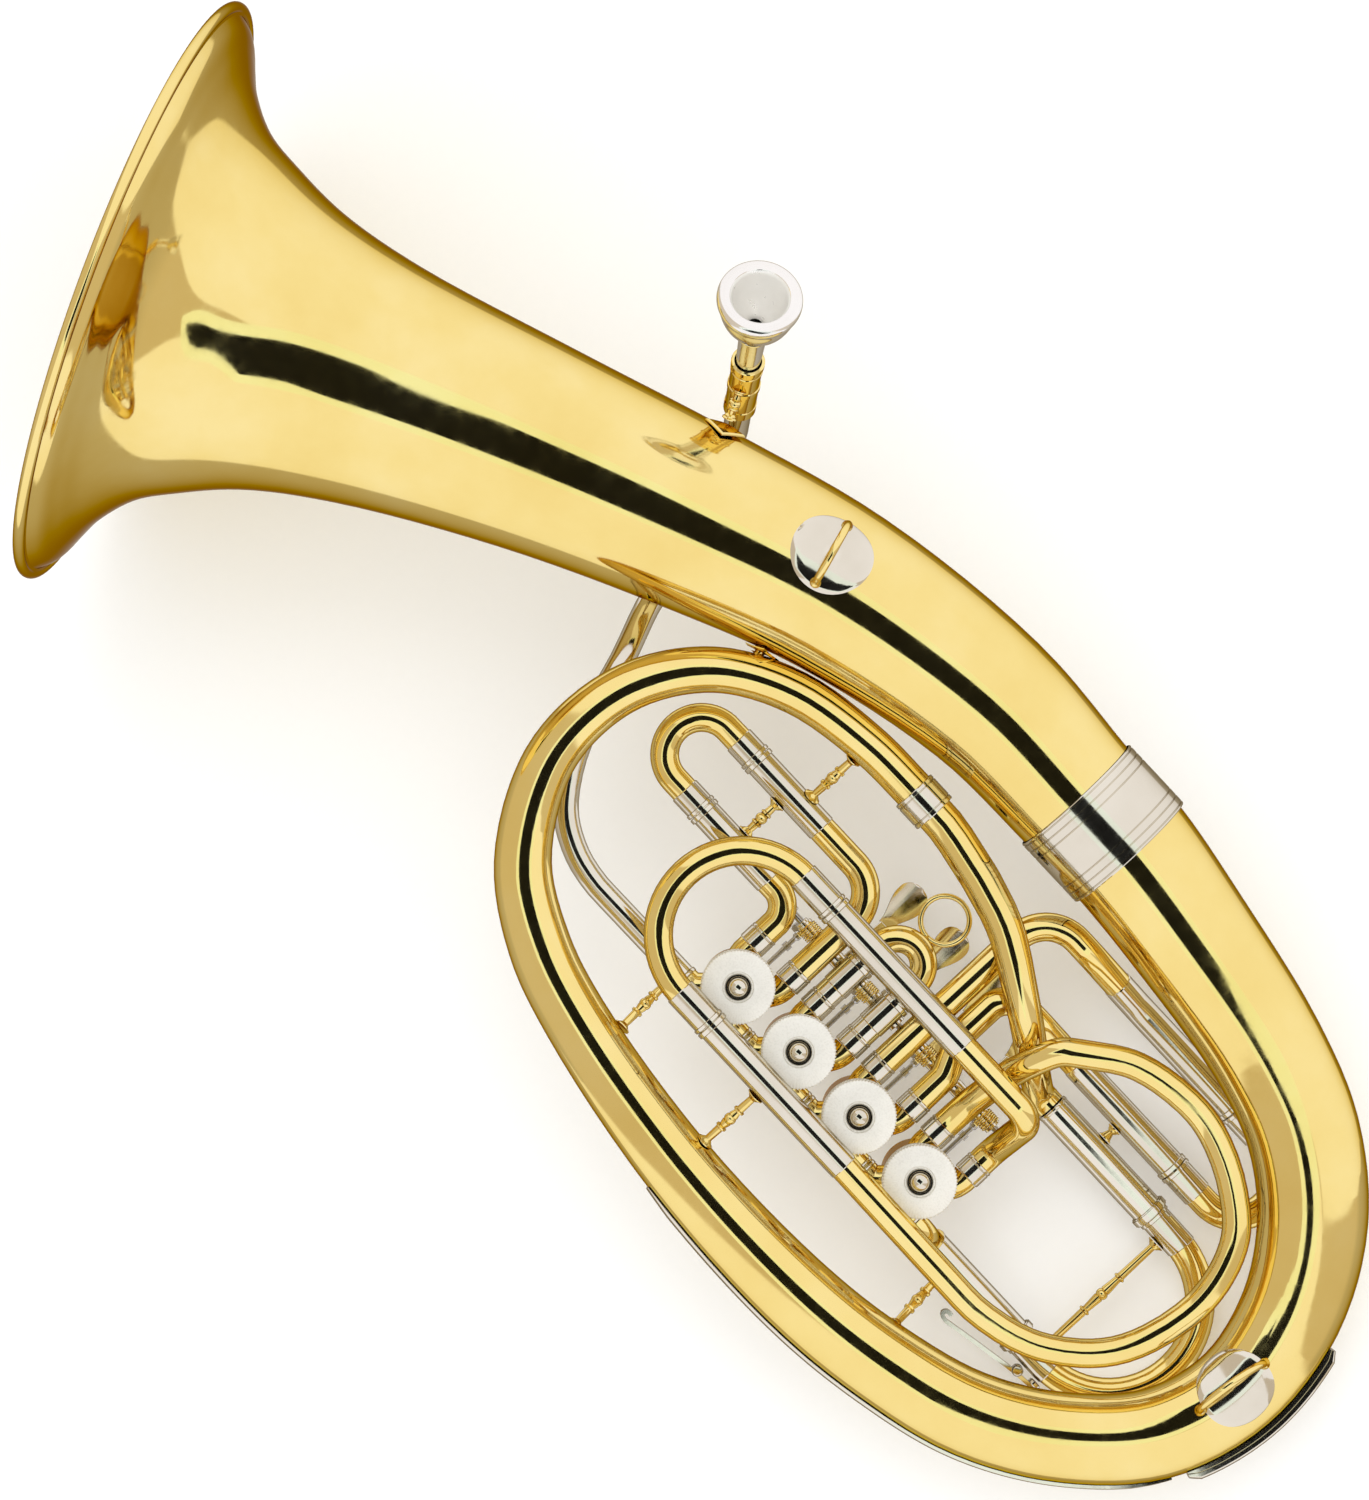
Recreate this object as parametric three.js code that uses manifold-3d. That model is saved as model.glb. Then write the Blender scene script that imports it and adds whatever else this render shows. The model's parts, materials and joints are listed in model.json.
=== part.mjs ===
// A B-flat euphonium of the oval pattern with four rotary valves.
// Millimetres. While it is designed, x runs along the valve row towards the bottom bow, y runs from the
// valves towards the bell tube, and z runs towards the player; the main bow lies in the plane z = 0.
// The finished instrument is then laid down as it rests on a table, with +Z up.
import * as THREE from 'three';
import { mergeVertices } from 'three/addons/utils/BufferGeometryUtils.js';
import Module from 'manifold-3d';

const wasm = await Module();
wasm.setup();

// ---------- driving dimensions ----------
const GAP = 0.3;                    // between pieces that touch
const WALL = 0.8;                   // sheet and tube wall
const TUBE = 6.7;                   // outer radius of the valve tubing
const SLEEVE = 7.1;                 // outer radius of a slide's outer tube
const SLEEVE_BORE = 6.5;
const INNER = 5.8;                  // outer radius of a slide's inner tube
const INNER_BORE = 5.0;
const FERRULE = 7.6;
const COLLAR = 8.1;                 // the thick ring at a slide tube's mouth
const BORE = TUBE - WALL;
const BEND_STEP = THREE.MathUtils.degToRad(24);

const BELL_RADIUS = 140;
const BELL_WALL = 1;
const BELL_MOUTH = [-422, 13, 0];
const BELL_LEAN = THREE.MathUtils.degToRad(26);   // bell axis against the slides
const RIM_WIDTH = 4;
const RIM_DEPTH = 3;

const BOW_JOINT_RADIUS = 31.8;
const BOW_JOINT = 59;                // where the bell tube meets the main bow, inside its ferrule
const BRANCH_JOINT = -3.5;
const BRANCH_Y = 118.6;               // axis of the small end of the bow
const BELL_TUBE_Y = 171.5;            // axis of the bell tube where it meets the bow

const VALVE_COUNT = 4;
const VALVE_PITCH = 40.5;
const VALVE_Y = -1.2;
const VALVE_Z = -19;                // plane of the valve ports
const CASING_RADIUS = 16;
const CASING_HALF = 20;
const ROTOR_RADIUS = 13.2;
const ROTOR_HALF = 15;
const PORT_A = -8.7;                // slide ports, measured from the valve axis
const PORT_B = 15.2;
const PORT_TOP = 15.4;                // where a slide tube takes over from the casing
const CHAIN_Y = -17.2;              // the passage from valve to valve
const CHAIN_END = 20.1;
const OUTLET_END = 14.4;

const TUNING_Z = -30;
const TUNING_UPPER_Y = 66.2;
const TUNING_LOWER_Y = -18.1;
const TUNING_LEG_END = 210;

const SLIDE_1_UPPER_Y = 76.2;
const SLIDE_1_LOWER_Y = 42;
const SLIDE_1_END = -70;
const SLIDE_2_END = 47;
const SLIDE_3_UPPER = [127.3, -35]; // y, z of the leg nearer the bell
const SLIDE_3_LOWER = [88.1, -30];
const SLIDE_3_END = 201;
const SLIDE_4_Z = 14;
const SLIDE_4_UPPER_Y = 55;
const SLIDE_4_LOWER_Y = -21.5;
const SLIDE_4_END = 3;
const SLEEVE_DEPTH = 46;            // how far an inner tube reaches into its outer tube
const CROOK_FERRULE = 13;

const HINGE_Y = 40;                 // hinge rod of the four finger levers
const HINGE_Z = -31;
const LEVER_REST = THREE.MathUtils.degToRad(-25);
const LEVER_STROKE = THREE.MathUtils.degToRad(20);
const LEVER_REACH = 57;
const CRANK = 20;
const STOP_ARM = 4.91;              // rotor pin radius, a quarter turn for one lever stroke
const LINK_X = 4.19;                // link rod, measured from the valve axis
const ARM_Z = -43;
const LEVERS = [                    // barrel start, barrel end, finger plate
  [1, 35, 27.9],
  [37, 65, 56.5],
  [67, 99, 85.2],
  [101, 130, 113.9],
];

const MOUTHPIECE_RIM = [-218, 214, 87];
const MOUTHPIECE_AXIS = [0.24, -0.33, -0.913];
const MOUTHPIECE_LENGTH = 80;
const SHANK_DEPTH = 22;
const RECEIVER_LENGTH = 44;
const LEADPIPE = 6;

// How the instrument lies: the turn about its length and the tilt of its length.
const REST_ROLL = THREE.MathUtils.degToRad(-0.255);
const REST_PITCH = THREE.MathUtils.degToRad(8.534);

// ---------- finishes ----------
function finish(colour, roughness) {
  return new THREE.MeshStandardMaterial({ color: colour, roughness, metalness: 1 });
}
const BRASS = finish(0xd9a23c, 0.16);
const NICKEL = finish(0xd3cdc2, 0.18);
const SILVER = finish(0xe6e6e4, 0.12);
const STEEL = finish(0x9b9c9d, 0.3);

// ---------- closed solids and joins ----------
function closed(geometry) {
  const bare = geometry.clone();
  bare.deleteAttribute('normal');
  bare.deleteAttribute('uv');
  const merged = mergeVertices(bare, 1e-3);
  const corner = merged.index.array;
  const kept = [];
  for (let i = 0; i < corner.length; i += 3) {
    const [a, b, c] = corner.slice(i, i + 3);
    if (a !== b && b !== c && c !== a) {
      kept.push(a, b, c);
    }
  }
  merged.setIndex(kept);
  return facesOut(merged);
}

function signedVolume(geometry) {
  const place = geometry.attributes.position;
  const corner = geometry.index.array;
  const [a, b, c] = [new THREE.Vector3(), new THREE.Vector3(), new THREE.Vector3()];
  let volume = 0;
  for (let i = 0; i < corner.length; i += 3) {
    a.fromBufferAttribute(place, corner[i]);
    b.fromBufferAttribute(place, corner[i + 1]);
    c.fromBufferAttribute(place, corner[i + 2]);
    volume += a.dot(b.cross(c)) / 6;
  }
  return volume;
}

function facesOut(geometry) {
  if (signedVolume(geometry) < 0) {
    const turned = Array.from(geometry.index.array);
    for (let i = 0; i < turned.length; i += 3) {
      [turned[i + 1], turned[i + 2]] = [turned[i + 2], turned[i + 1]];
    }
    geometry.setIndex(turned);
  }
  return geometry;
}

function solid(geometry) {
  const shape = closed(geometry);
  return new wasm.Manifold(new wasm.Mesh({
    numProp: 3,
    vertProperties: new Float32Array(shape.attributes.position.array),
    triVerts: new Uint32Array(shape.index.array),
  }));
}

function surface(body) {
  const mesh = body.getMesh();
  const geometry = new THREE.BufferGeometry();
  geometry.setAttribute('position', new THREE.BufferAttribute(new Float32Array(mesh.vertProperties), 3));
  geometry.setIndex(Array.from(mesh.triVerts));
  return geometry;
}

function join(...geometries) {
  return surface(geometries.map(solid).reduce((whole, piece) => whole.add(piece)));
}

function cut(geometry, ...tools) {
  return surface(tools.map(solid).reduce((whole, tool) => whole.subtract(tool), solid(geometry)));
}

function common(first, second) {
  return surface(solid(first).intersect(solid(second)));
}

// ---------- centrelines ----------
function point(x, y, z) {
  return new THREE.Vector3(x, y, z);
}

// A round bend between two straight runs.
class Bend extends THREE.Curve {
  constructor(start, direction, inward, radius, angle) {
    super();
    Object.assign(this, { start, direction, inward, radius, angle });
  }

  getPoint(t, target = new THREE.Vector3()) {
    const turned = t * this.angle;
    return target.copy(this.start)
      .addScaledVector(this.direction, this.radius * Math.sin(turned))
      .addScaledVector(this.inward, this.radius * (1 - Math.cos(turned)));
  }
}

// Straight runs through the corners x, y, z, rounded where a corner has a bend radius.
function pipeRun(corners) {
  const places = corners.map(([x, y, z]) => point(x, y, z));
  const path = new THREE.CurvePath();
  let from = places[0];
  for (let i = 1; i < places.length - 1; i += 1) {
    const before = places[i].clone().sub(places[i - 1]).normalize();
    const after = places[i + 1].clone().sub(places[i]).normalize();
    const angle = before.angleTo(after);
    const radius = corners[i][3];
    const reach = radius * Math.tan(angle / 2);
    const inward = after.clone().addScaledVector(before, -after.dot(before)).normalize();
    const start = places[i].clone().addScaledVector(before, -reach);
    path.add(new THREE.LineCurve3(from, start));
    path.add(new Bend(start, before, inward, radius, angle));
    from = places[i].clone().addScaledVector(after, reach);
  }
  path.add(new THREE.LineCurve3(from, places[places.length - 1]));
  path.arcLengthDivisions = 400;
  return path;
}

function smoothRun(rows) {
  const curve = new THREE.CatmullRomCurve3(rows.map(([x, y, z]) => point(x, y, z)), false, 'centripetal');
  curve.arcLengthDivisions = 600;
  return curve;
}

// Distance along the curve of the place nearest to x, y, z.
function distanceAt(curve, x, y, z) {
  const target = point(x, y, z);
  const steps = 600;
  let best = 0;
  for (let i = 0; i <= steps; i += 1) {
    if (curve.getPointAt(i / steps).distanceTo(target) < curve.getPointAt(best / steps).distanceTo(target)) {
      best = i;
    }
  }
  return curve.getLength() * best / steps;
}

// ---------- tubes ----------
function valueBetween(rows, distance, column) {
  for (let i = 1; i < rows.length; i += 1) {
    if (distance <= rows[i][0]) {
      const span = rows[i][0] - rows[i - 1][0];
      const share = span > 0 ? (distance - rows[i - 1][0]) / span : 1;
      return THREE.MathUtils.lerp(rows[i - 1][column], rows[i][column], share);
    }
  }
  return rows[rows.length - 1][column];
}

// Adds a ring wherever the centreline has turned by one bend step since the ring before.
function withBendRings(curve, rings) {
  const length = curve.getLength();
  const steps = Math.ceil(length / 1.5);
  const added = [];
  let last = curve.getTangentAt(0);
  let given = 0;
  for (let i = 1; i < steps; i += 1) {
    const tangent = curve.getTangentAt(i / steps);
    const distance = length * i / steps;
    while (given < rings.length && rings[given][0] <= distance) {
      given += 1;
      last = tangent;
    }
    const crowded = rings.some(([place]) => Math.abs(place - distance) < 0.8);
    if (tangent.angleTo(last) > BEND_STEP && !crowded) {
      added.push([distance, valueBetween(rings, distance, 1), valueBetween(rings, distance, 2)]);
      last = tangent;
    }
  }
  return [...rings, ...added].sort((first, second) => first[0] - second[0]);
}

// Frames carried along the curve without twist, the first one square to +z where that is possible.
function carriedFrames(curve, steps) {
  const frames = [];
  let tangent = curve.getTangentAt(0);
  let side = new THREE.Vector3(0, 0, 1).cross(tangent);
  if (side.length() < 0.1) {
    side = new THREE.Vector3(1, 0, 0);
  }
  side.addScaledVector(tangent, -side.dot(tangent)).normalize();
  for (let i = 0; i <= steps; i += 1) {
    const next = curve.getTangentAt(i / steps);
    const turn = new THREE.Quaternion().setFromUnitVectors(tangent, next);
    side = side.clone().applyQuaternion(turn).normalize();
    tangent = next;
    frames.push({ side, up: tangent.clone().cross(side) });
  }
  return frames;
}

// Bends a turned shape, whose y is the distance along the curve, round that curve.
function bendAlong(turned, curve) {
  const length = curve.getLength();
  const steps = Math.ceil(length);
  const frames = carriedFrames(curve, steps);
  const place = turned.attributes.position;
  for (let i = 0; i < place.count; i += 1) {
    const along = THREE.MathUtils.clamp(place.getY(i) / length, 0, 1);
    const low = Math.min(Math.floor(along * steps), steps - 1);
    const share = along * steps - low;
    const side = frames[low].side.clone().lerp(frames[low + 1].side, share).normalize();
    const up = frames[low].up.clone().lerp(frames[low + 1].up, share).normalize();
    const centre = curve.getPointAt(along);
    const spot = centre.clone().addScaledVector(side, place.getX(i)).addScaledVector(up, place.getZ(i));
    place.setXYZ(i, spot.x, spot.y, spot.z);
  }
  return turned;
}

// rings: [distance, outer radius, inner radius]. An open tube with a wall.
function tube(curve, rings, sides = 8) {
  const all = withBendRings(curve, rings);
  const outline = all.map(([distance, outer]) => new THREE.Vector2(outer, distance));
  for (const [distance, , inner] of [...all].reverse()) {
    outline.push(new THREE.Vector2(inner, distance));
  }
  outline.push(outline[0].clone());
  return closed(bendAlong(new THREE.LatheGeometry(outline, sides), curve));
}

// rings: [distance, radius]. A solid rod.
function rod(curve, rings, sides = 8) {
  const all = withBendRings(curve, rings.map(([distance, radius]) => [distance, radius, 0]));
  const outline = all.map(([distance, radius]) => new THREE.Vector2(radius, distance));
  outline.unshift(new THREE.Vector2(0, all[0][0]));
  outline.push(new THREE.Vector2(0, all[all.length - 1][0]));
  return closed(bendAlong(new THREE.LatheGeometry(outline, sides), curve));
}

function plainRod(curve, radius, sides = 8) {
  return rod(curve, [[0, radius], [curve.getLength(), radius]], sides);
}

function line(from, to) {
  return new THREE.LineCurve3(point(...from), point(...to));
}

// Steps of equal wall: [distance, outer, inner] pairs that jump at the same distance.
function stepped(stages) {
  const rings = [];
  for (const [from, to, outer, inner] of stages) {
    rings.push([from, outer, inner], [to, outer, inner]);
  }
  return rings;
}

function turnedAbout(profile, sides, x, y, z) {
  const outline = profile.map(([radius, height]) => new THREE.Vector2(radius, height));
  const shape = new THREE.LatheGeometry(outline, sides, Math.PI / sides);
  shape.rotateX(Math.PI / 2);
  shape.translate(x, y, z);
  return shape;
}

function slab(width, depth, height, x, y, z) {
  return new THREE.BoxGeometry(width, depth, height).translate(x, y, z);
}

// ---------- the assembly ----------
const instrument = new THREE.Group();

function place(name, geometry, material) {
  const mesh = new THREE.Mesh(closed(geometry), material);
  mesh.name = name;
  instrument.add(mesh);
}

// ---------- bell ----------
const BELL_AXIS = [Math.cos(BELL_LEAN), Math.sin(BELL_LEAN), 0];
const BELL_RIM = [                  // distance from the mouth, outer and inner radius of the rolled edge
  [0, BELL_RADIUS, BELL_RADIUS - RIM_WIDTH], [RIM_DEPTH, BELL_RADIUS, 133], [RIM_DEPTH + 0.4, 136, 132],
];
const BELL_FLARE = [                // distance from the mouth, outer radius
  [12, 123], [20, 104.5], [34, 89], [52, 79], [79, 66], [120, 57.5],
  [200, 48.3], [283, 42.9], [353, 39.2], [436, 34.8], [495, 32],
];

function bellRun() {
  const [x, y] = BELL_MOUTH;
  const [ax, ay] = BELL_AXIS;
  return smoothRun([
    [x, y, 0], [x + 100 * ax, y + 100 * ay, 0], [x + 198 * ax, y + 198 * ay - 1, 0],
    [-168, 131.3, 0], [-100, 156, 0], [-18, 171.6, 0], [40, BELL_TUBE_Y, 0], [BOW_JOINT - 1, BELL_TUBE_Y, 0],
  ]);
}

function bell() {
  const run = bellRun();
  const end = run.getLength();
  const flare = BELL_FLARE.map(([distance, radius]) => [distance, radius, radius - BELL_WALL]);
  return tube(run, [...BELL_RIM, ...flare, [end, BOW_JOINT_RADIUS, BOW_JOINT_RADIUS - WALL]], 20);
}

function bellFerrule() {
  const run = line([41, BELL_TUBE_Y, 0], [77, BELL_TUBE_Y, 0]);
  return tube(run, stepped([
    [0, 3, 33.6, 32.9], [3, 9, 34.6, 32.9], [9, 27, 33.6, 32.9], [27, 33, 34.6, 32.9], [33, 36, 33.6, 32.9],
  ]), 16);
}

// ---------- main bow and its small branch ----------
const BOW_ROUTE = [                 // x, y, outer radius; from the small ferrule round to the bell
  [BRANCH_JOINT - 0.8, BRANCH_Y, 9.6], [-14, 118.7, 9.6], [-40, 117.8, 9.8], [-80, 109.9, 10.2],
  [-112, 91, 10.6], [-132, 62, 11.1],
  [-138, 32, 11.6], [-133, 2, 12.2], [-109, -34, 13.3], [-76, -54.5, 14.6], [-40, -65.5, 15.2],
  [40, -77, 16.9], [120, -77.5, 18.6], [170, -70.5, 19.3], [215, -57, 20], [252, -33, 20.6],
  [280, 0, 21], [290, 40, 21.6], [281, 82, 23.5], [258, 117, 25.2], [225, 142, 26], [185, 156, 27],
  [120, 166.5, 29.5], [78, 171.2, 31.4], [BOW_JOINT + 1, BELL_TUBE_Y, 31.8],
];

function bowRun() {
  return smoothRun(BOW_ROUTE.map(([x, y]) => [x, y, 0]));
}

function bowRadius(run, distance) {
  const rows = BOW_ROUTE.map(([x, y, radius]) => [distanceAt(run, x, y, 0), radius]);
  return valueBetween(rows, distance, 1);
}

function mainBow() {
  const run = bowRun();
  const rings = BOW_ROUTE.map(([x, y, radius]) => [distanceAt(run, x, y, 0), radius, radius - WALL]);
  return tube(run, rings, 12);
}

function branch() {
  const run = smoothRun([
    [BRANCH_JOINT + 0.8, BRANCH_Y, 0], [6, BRANCH_Y, 0], [14, 118, 0], [40, 113.3, 0], [64, 106.2, 0],
    [90, 91.5, -1],
    [108.6, 80.2, -6], [120, 73, -15], [133, 66.5, -28.5], [137, TUNING_UPPER_Y, TUNING_Z],
    [141, TUNING_UPPER_Y, TUNING_Z],
  ]);
  const end = run.getLength();
  return tube(run, [[0, 9.1, 9.1 - WALL], [45, 9.1, 9.1 - WALL], [end - 30, 7.5, 6.7], [end, 7.2, 6.4]]);
}

function bowFerrule() {
  return tube(line([-11, BRANCH_Y, 0], [3.4, BRANCH_Y, 0]), stepped([
    [0, 2, 11, 10.2], [2, 12.4, 10.9, 10.2], [12.4, 14.4, 11, 10.2],
  ]), 12);
}

// ---------- guards on the bottom bow ----------
function outerEdge(fromX, fromY, toX, toY, offset, count) {
  const run = bowRun();
  const first = distanceAt(run, fromX, fromY, 0);
  const last = distanceAt(run, toX, toY, 0);
  const rows = [];
  for (let i = 0; i <= count; i += 1) {
    const distance = THREE.MathUtils.lerp(first, last, i / count);
    const centre = run.getPointAt(distance / run.getLength());
    const tangent = run.getTangentAt(distance / run.getLength());
    const outward = tangent.clone().cross(point(0, 0, 1));
    centre.addScaledVector(outward, bowRadius(run, distance) + offset);
    rows.push([centre.x, centre.y, 0]);
  }
  return smoothRun(rows);
}

function guard(route, width, thickness, steps) {
  const section = new THREE.Shape();
  section.moveTo(-width / 2, -thickness / 2);
  section.lineTo(width / 2, -thickness / 2);
  section.quadraticCurveTo(0, thickness * 1.4, -width / 2, -thickness / 2);
  return new THREE.ExtrudeGeometry(section, {
    steps, bevelEnabled: false, curveSegments: 4, extrudePath: route,
  });
}

// ---------- strap eyes ----------
const QUARTERS = [0, 0.25, 0.5, 0.75, 1];

// A round patch that fits the tube, with half a ring of wire standing on it.
function strapEye(run, centre, tubeRadius, lift, ringRadius, ringDirection) {
  const middle = distanceAt(run, ...centre);
  const start = (middle - 24) / run.getLength();
  const stop = (middle + 24) / run.getLength();
  const rows = QUARTERS.map((share) => run.getPointAt(THREE.MathUtils.lerp(start, stop, share)).toArray());
  const piece = smoothRun(rows);
  const length = piece.getLength();
  const shellRings = QUARTERS.map((share) => [
    length * share, tubeRadius + lift + 1.3, tubeRadius + lift,
  ]);
  const shell = tube(piece, shellRings, 16);
  const nearest = run.getPointAt(middle / run.getLength());
  const outward = point(...centre).sub(nearest).normalize();
  const disc = new THREE.CylinderGeometry(18, 18, 60, 10).translate(0, 30, 0);
  disc.applyQuaternion(new THREE.Quaternion().setFromUnitVectors(point(0, 1, 0), outward));
  disc.translate(nearest.x, nearest.y, nearest.z);
  const patch = common(shell, disc);
  const across = point(...ringDirection);
  across.addScaledVector(outward, -across.dot(outward)).normalize();
  const feet = [-ringRadius, ringRadius].map((offset) => {
    const foot = nearest.clone().addScaledVector(outward, tubeRadius).addScaledVector(across, offset);
    const axis = run.getPointAt(distanceAt(run, foot.x, foot.y, 0) / run.getLength());
    return axis.clone().addScaledVector(foot.sub(axis).normalize(), tubeRadius + lift + 0.7);
  });
  const middlePlace = feet[0].clone().add(feet[1]).multiplyScalar(0.5);
  const half = feet[1].clone().sub(feet[0]).multiplyScalar(0.5);
  const arc = [];
  for (let i = 0; i <= 6; i += 1) {
    const angle = Math.PI * i / 6;
    const spot = middlePlace.clone().addScaledVector(half, -Math.cos(angle));
    arc.push(spot.addScaledVector(outward, ringRadius * Math.sin(angle)).toArray());
  }
  return join(patch, plainRod(smoothRun(arc), 1.75, 6));
}

// ---------- mouthpiece, receiver and leadpipe ----------
function onMouthpieceAxis(distance) {
  const axis = point(...MOUTHPIECE_AXIS).normalize();
  return point(...MOUTHPIECE_RIM).addScaledVector(axis, distance).toArray();
}

function mouthpiece() {
  const run = line(onMouthpieceAxis(0), onMouthpieceAxis(MOUTHPIECE_LENGTH));
  return tube(run, [
    [0, 16.6, 13.6], [1.2, 18.6, 13], [4, 19, 12.4], [7, 17.6, 12], [18, 14.6, 8.5], [25, 11, 3.6],
    [29, 6.6, 3.2], [32, 7.6, 3.2], [35, 5.6, 3.2], [48, 5.2, 3.6], [52, 6, 3.7], [MOUTHPIECE_LENGTH, 5, 4.2],
  ], 12);
}

function receiver() {
  const start = MOUTHPIECE_LENGTH - SHANK_DEPTH;
  const run = line(onMouthpieceAxis(start), onMouthpieceAxis(start + RECEIVER_LENGTH));
  return tube(run, stepped([
    [0, 4, 9.2, 6.4], [4, 20, 7.3, 6.4], [20, 23, 8.2, 6.2], [23, 38, 7.2, 6.1],
    [38, RECEIVER_LENGTH, 8, 6.3],
  ]), 12);
}

function leadpipe() {
  const start = onMouthpieceAxis(MOUTHPIECE_LENGTH - SHANK_DEPTH + RECEIVER_LENGTH + GAP);
  const next = onMouthpieceAxis(MOUTHPIECE_LENGTH - SHANK_DEPTH + RECEIVER_LENGTH + 24);
  const run = smoothRun([
    start, next, [-182, 160, -49], [-170, 135, -54], [-162, 108, -47], [-156.5, 88, -36],
    [-146, 62, -27], [-137, 34, -23], [-125.5, 11, -20], [-112, -5, -19.4], [-96, -13.8, VALVE_Z],
    [-80, CHAIN_Y, VALVE_Z], [-60, CHAIN_Y, VALVE_Z], [-CHAIN_END - GAP, CHAIN_Y, VALVE_Z],
  ]);
  return tube(run, stepped([[0, run.getLength(), LEADPIPE, LEADPIPE - WALL]]));
}

// ---------- braces ----------
// A turned rod with a ball in the middle and a foot on each tube.
function brace(from, fromRadius, to, toRadius, thickness = 1.8, foot = 4) {
  const direction = point(...to).sub(point(...from)).normalize();
  const start = point(...from).addScaledVector(direction, fromRadius + GAP);
  const stop = point(...to).addScaledVector(direction, -toRadius - GAP);
  const length = start.distanceTo(stop);
  const middle = length / 2;
  const ball = Math.min(thickness * 1.9, middle - 3.2);
  const rings = [[0, foot], [1.2, foot], [1.8, thickness * 1.2]];
  if (ball > 1) {
    rings.push([middle - ball, thickness], [middle - ball * 0.6, thickness + ball * 0.4]);
    rings.push([middle + ball * 0.6, thickness + ball * 0.4], [middle + ball, thickness]);
  }
  rings.push([length - 1.8, thickness * 1.2], [length - 1.2, foot], [length, foot]);
  return rod(line(start.toArray(), stop.toArray()), rings, 6);
}

// ---------- valves ----------
function valveX(index) {
  return VALVE_PITCH * index;
}

// The short curved passages that leave the casing: two up to the slide tubes, two along the chain.
// Each starts beyond its mouth by the given length and ends inside the rotor's chamber.
function knuckleRoutes(index, beyond) {
  const x = valveX(index);
  const top = PORT_TOP - GAP;
  const rightEnd = index === VALVE_COUNT - 1 ? OUTLET_END : CHAIN_END;
  return [
    smoothRun([[x + PORT_A, top + beyond, VALVE_Z], [x + PORT_A, top - 4, VALVE_Z], [x - 6, 2, VALVE_Z]]),
    smoothRun([[x + PORT_B, top + beyond, VALVE_Z], [x + PORT_B, top - 2, VALVE_Z],
      [x + PORT_B - 0.9, top - 6, VALVE_Z], [x + 10.5, 3.5, VALVE_Z], [x + 4, 1, VALVE_Z]]),
    smoothRun([[x - CHAIN_END - beyond, CHAIN_Y, VALVE_Z], [x - 17, CHAIN_Y, VALVE_Z],
      [x - 13.5, CHAIN_Y + 0.6, VALVE_Z], [x - 6, -9, VALVE_Z]]),
    smoothRun([[x + rightEnd + beyond, CHAIN_Y, VALVE_Z], [x + rightEnd - 1.6, CHAIN_Y, VALVE_Z],
      [x + 11, CHAIN_Y + 0.8, VALVE_Z], [x + 5, -9, VALVE_Z]]),
  ];
}

function casing(index) {
  const x = valveX(index);
  const back = VALVE_Z - CASING_HALF;
  const front = VALVE_Z + CASING_HALF - GAP;
  let body = solid(turnedAbout([[0, back], [CASING_RADIUS, back], [CASING_RADIUS, front], [0, front]],
    12, x, VALVE_Y, 0));
  for (const route of knuckleRoutes(index, 0)) {
    body = body.add(solid(plainRod(route, TUBE - 0.2, 6)));
  }
  for (const route of knuckleRoutes(index, 2)) {
    body = body.subtract(solid(plainRod(route, BORE - 0.6, 6)));
  }
  const chamber = turnedAbout([[0, back + 3], [ROTOR_RADIUS + 0.8, back + 3], [ROTOR_RADIUS + 0.8, front + 1],
    [0, front + 1]], 12, x, VALVE_Y, 0);
  const bearing = turnedAbout([[0, back - 1], [3.2, back - 1], [3.2, back + 4], [0, back + 4]], 8,
    x, VALVE_Y, 0);
  return surface(body.subtract(solid(chamber)).subtract(solid(bearing)));
}

function cap(index) {
  const seat = VALVE_Z + CASING_HALF;
  return turnedAbout([
    [0, seat + 1], [CASING_RADIUS + 0.35, seat + 1], [CASING_RADIUS + 0.35, seat - 6], [17.1, seat - 6],
    [17.1, seat + 3.6], [16.7, seat + 4], [6.3, seat + 4], [6.1, seat + 5], [4.4, seat + 5],
    [3.6, seat + 7], [0, seat + 8],
  ], 12, valveX(index), VALVE_Y, 0);
}

function rotor(index) {
  const x = valveX(index);
  const low = VALVE_Z - ROTOR_HALF;
  const high = VALVE_Z + ROTOR_HALF;
  const plug = turnedAbout([
    [0, ARM_Z - 1.3], [2.7, ARM_Z - 1.3], [2.7, low - 1], [4.5, low], [ROTOR_RADIUS, low],
    [ROTOR_RADIUS, high], [4, high], [3.4, high + 3], [0, high + 3],
  ], 12, x, VALVE_Y, 0);
  const passages = [-1, 1].map((side) => {
    const ring = new THREE.TorusGeometry(13, 5.2, 6, 12);
    return ring.translate(x, VALVE_Y + side * 20.5, VALVE_Z);
  });
  const pinX = x + STOP_ARM * Math.cos(Math.PI / 4);
  const pinY = VALVE_Y - STOP_ARM * Math.sin(Math.PI / 4);
  const arm = slab(STOP_ARM + 4.6, 4.4, 2.6, STOP_ARM / 2 + 0.2, 0, 0).rotateZ(-Math.PI / 4);
  arm.translate(x, VALVE_Y, ARM_Z);
  const pin = plainRod(line([pinX, pinY, ARM_Z], [pinX, pinY, HINGE_Z - CRANK - 2.4]), 1.1, 8);
  return join(cut(plug, ...passages), arm, pin);
}

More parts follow.
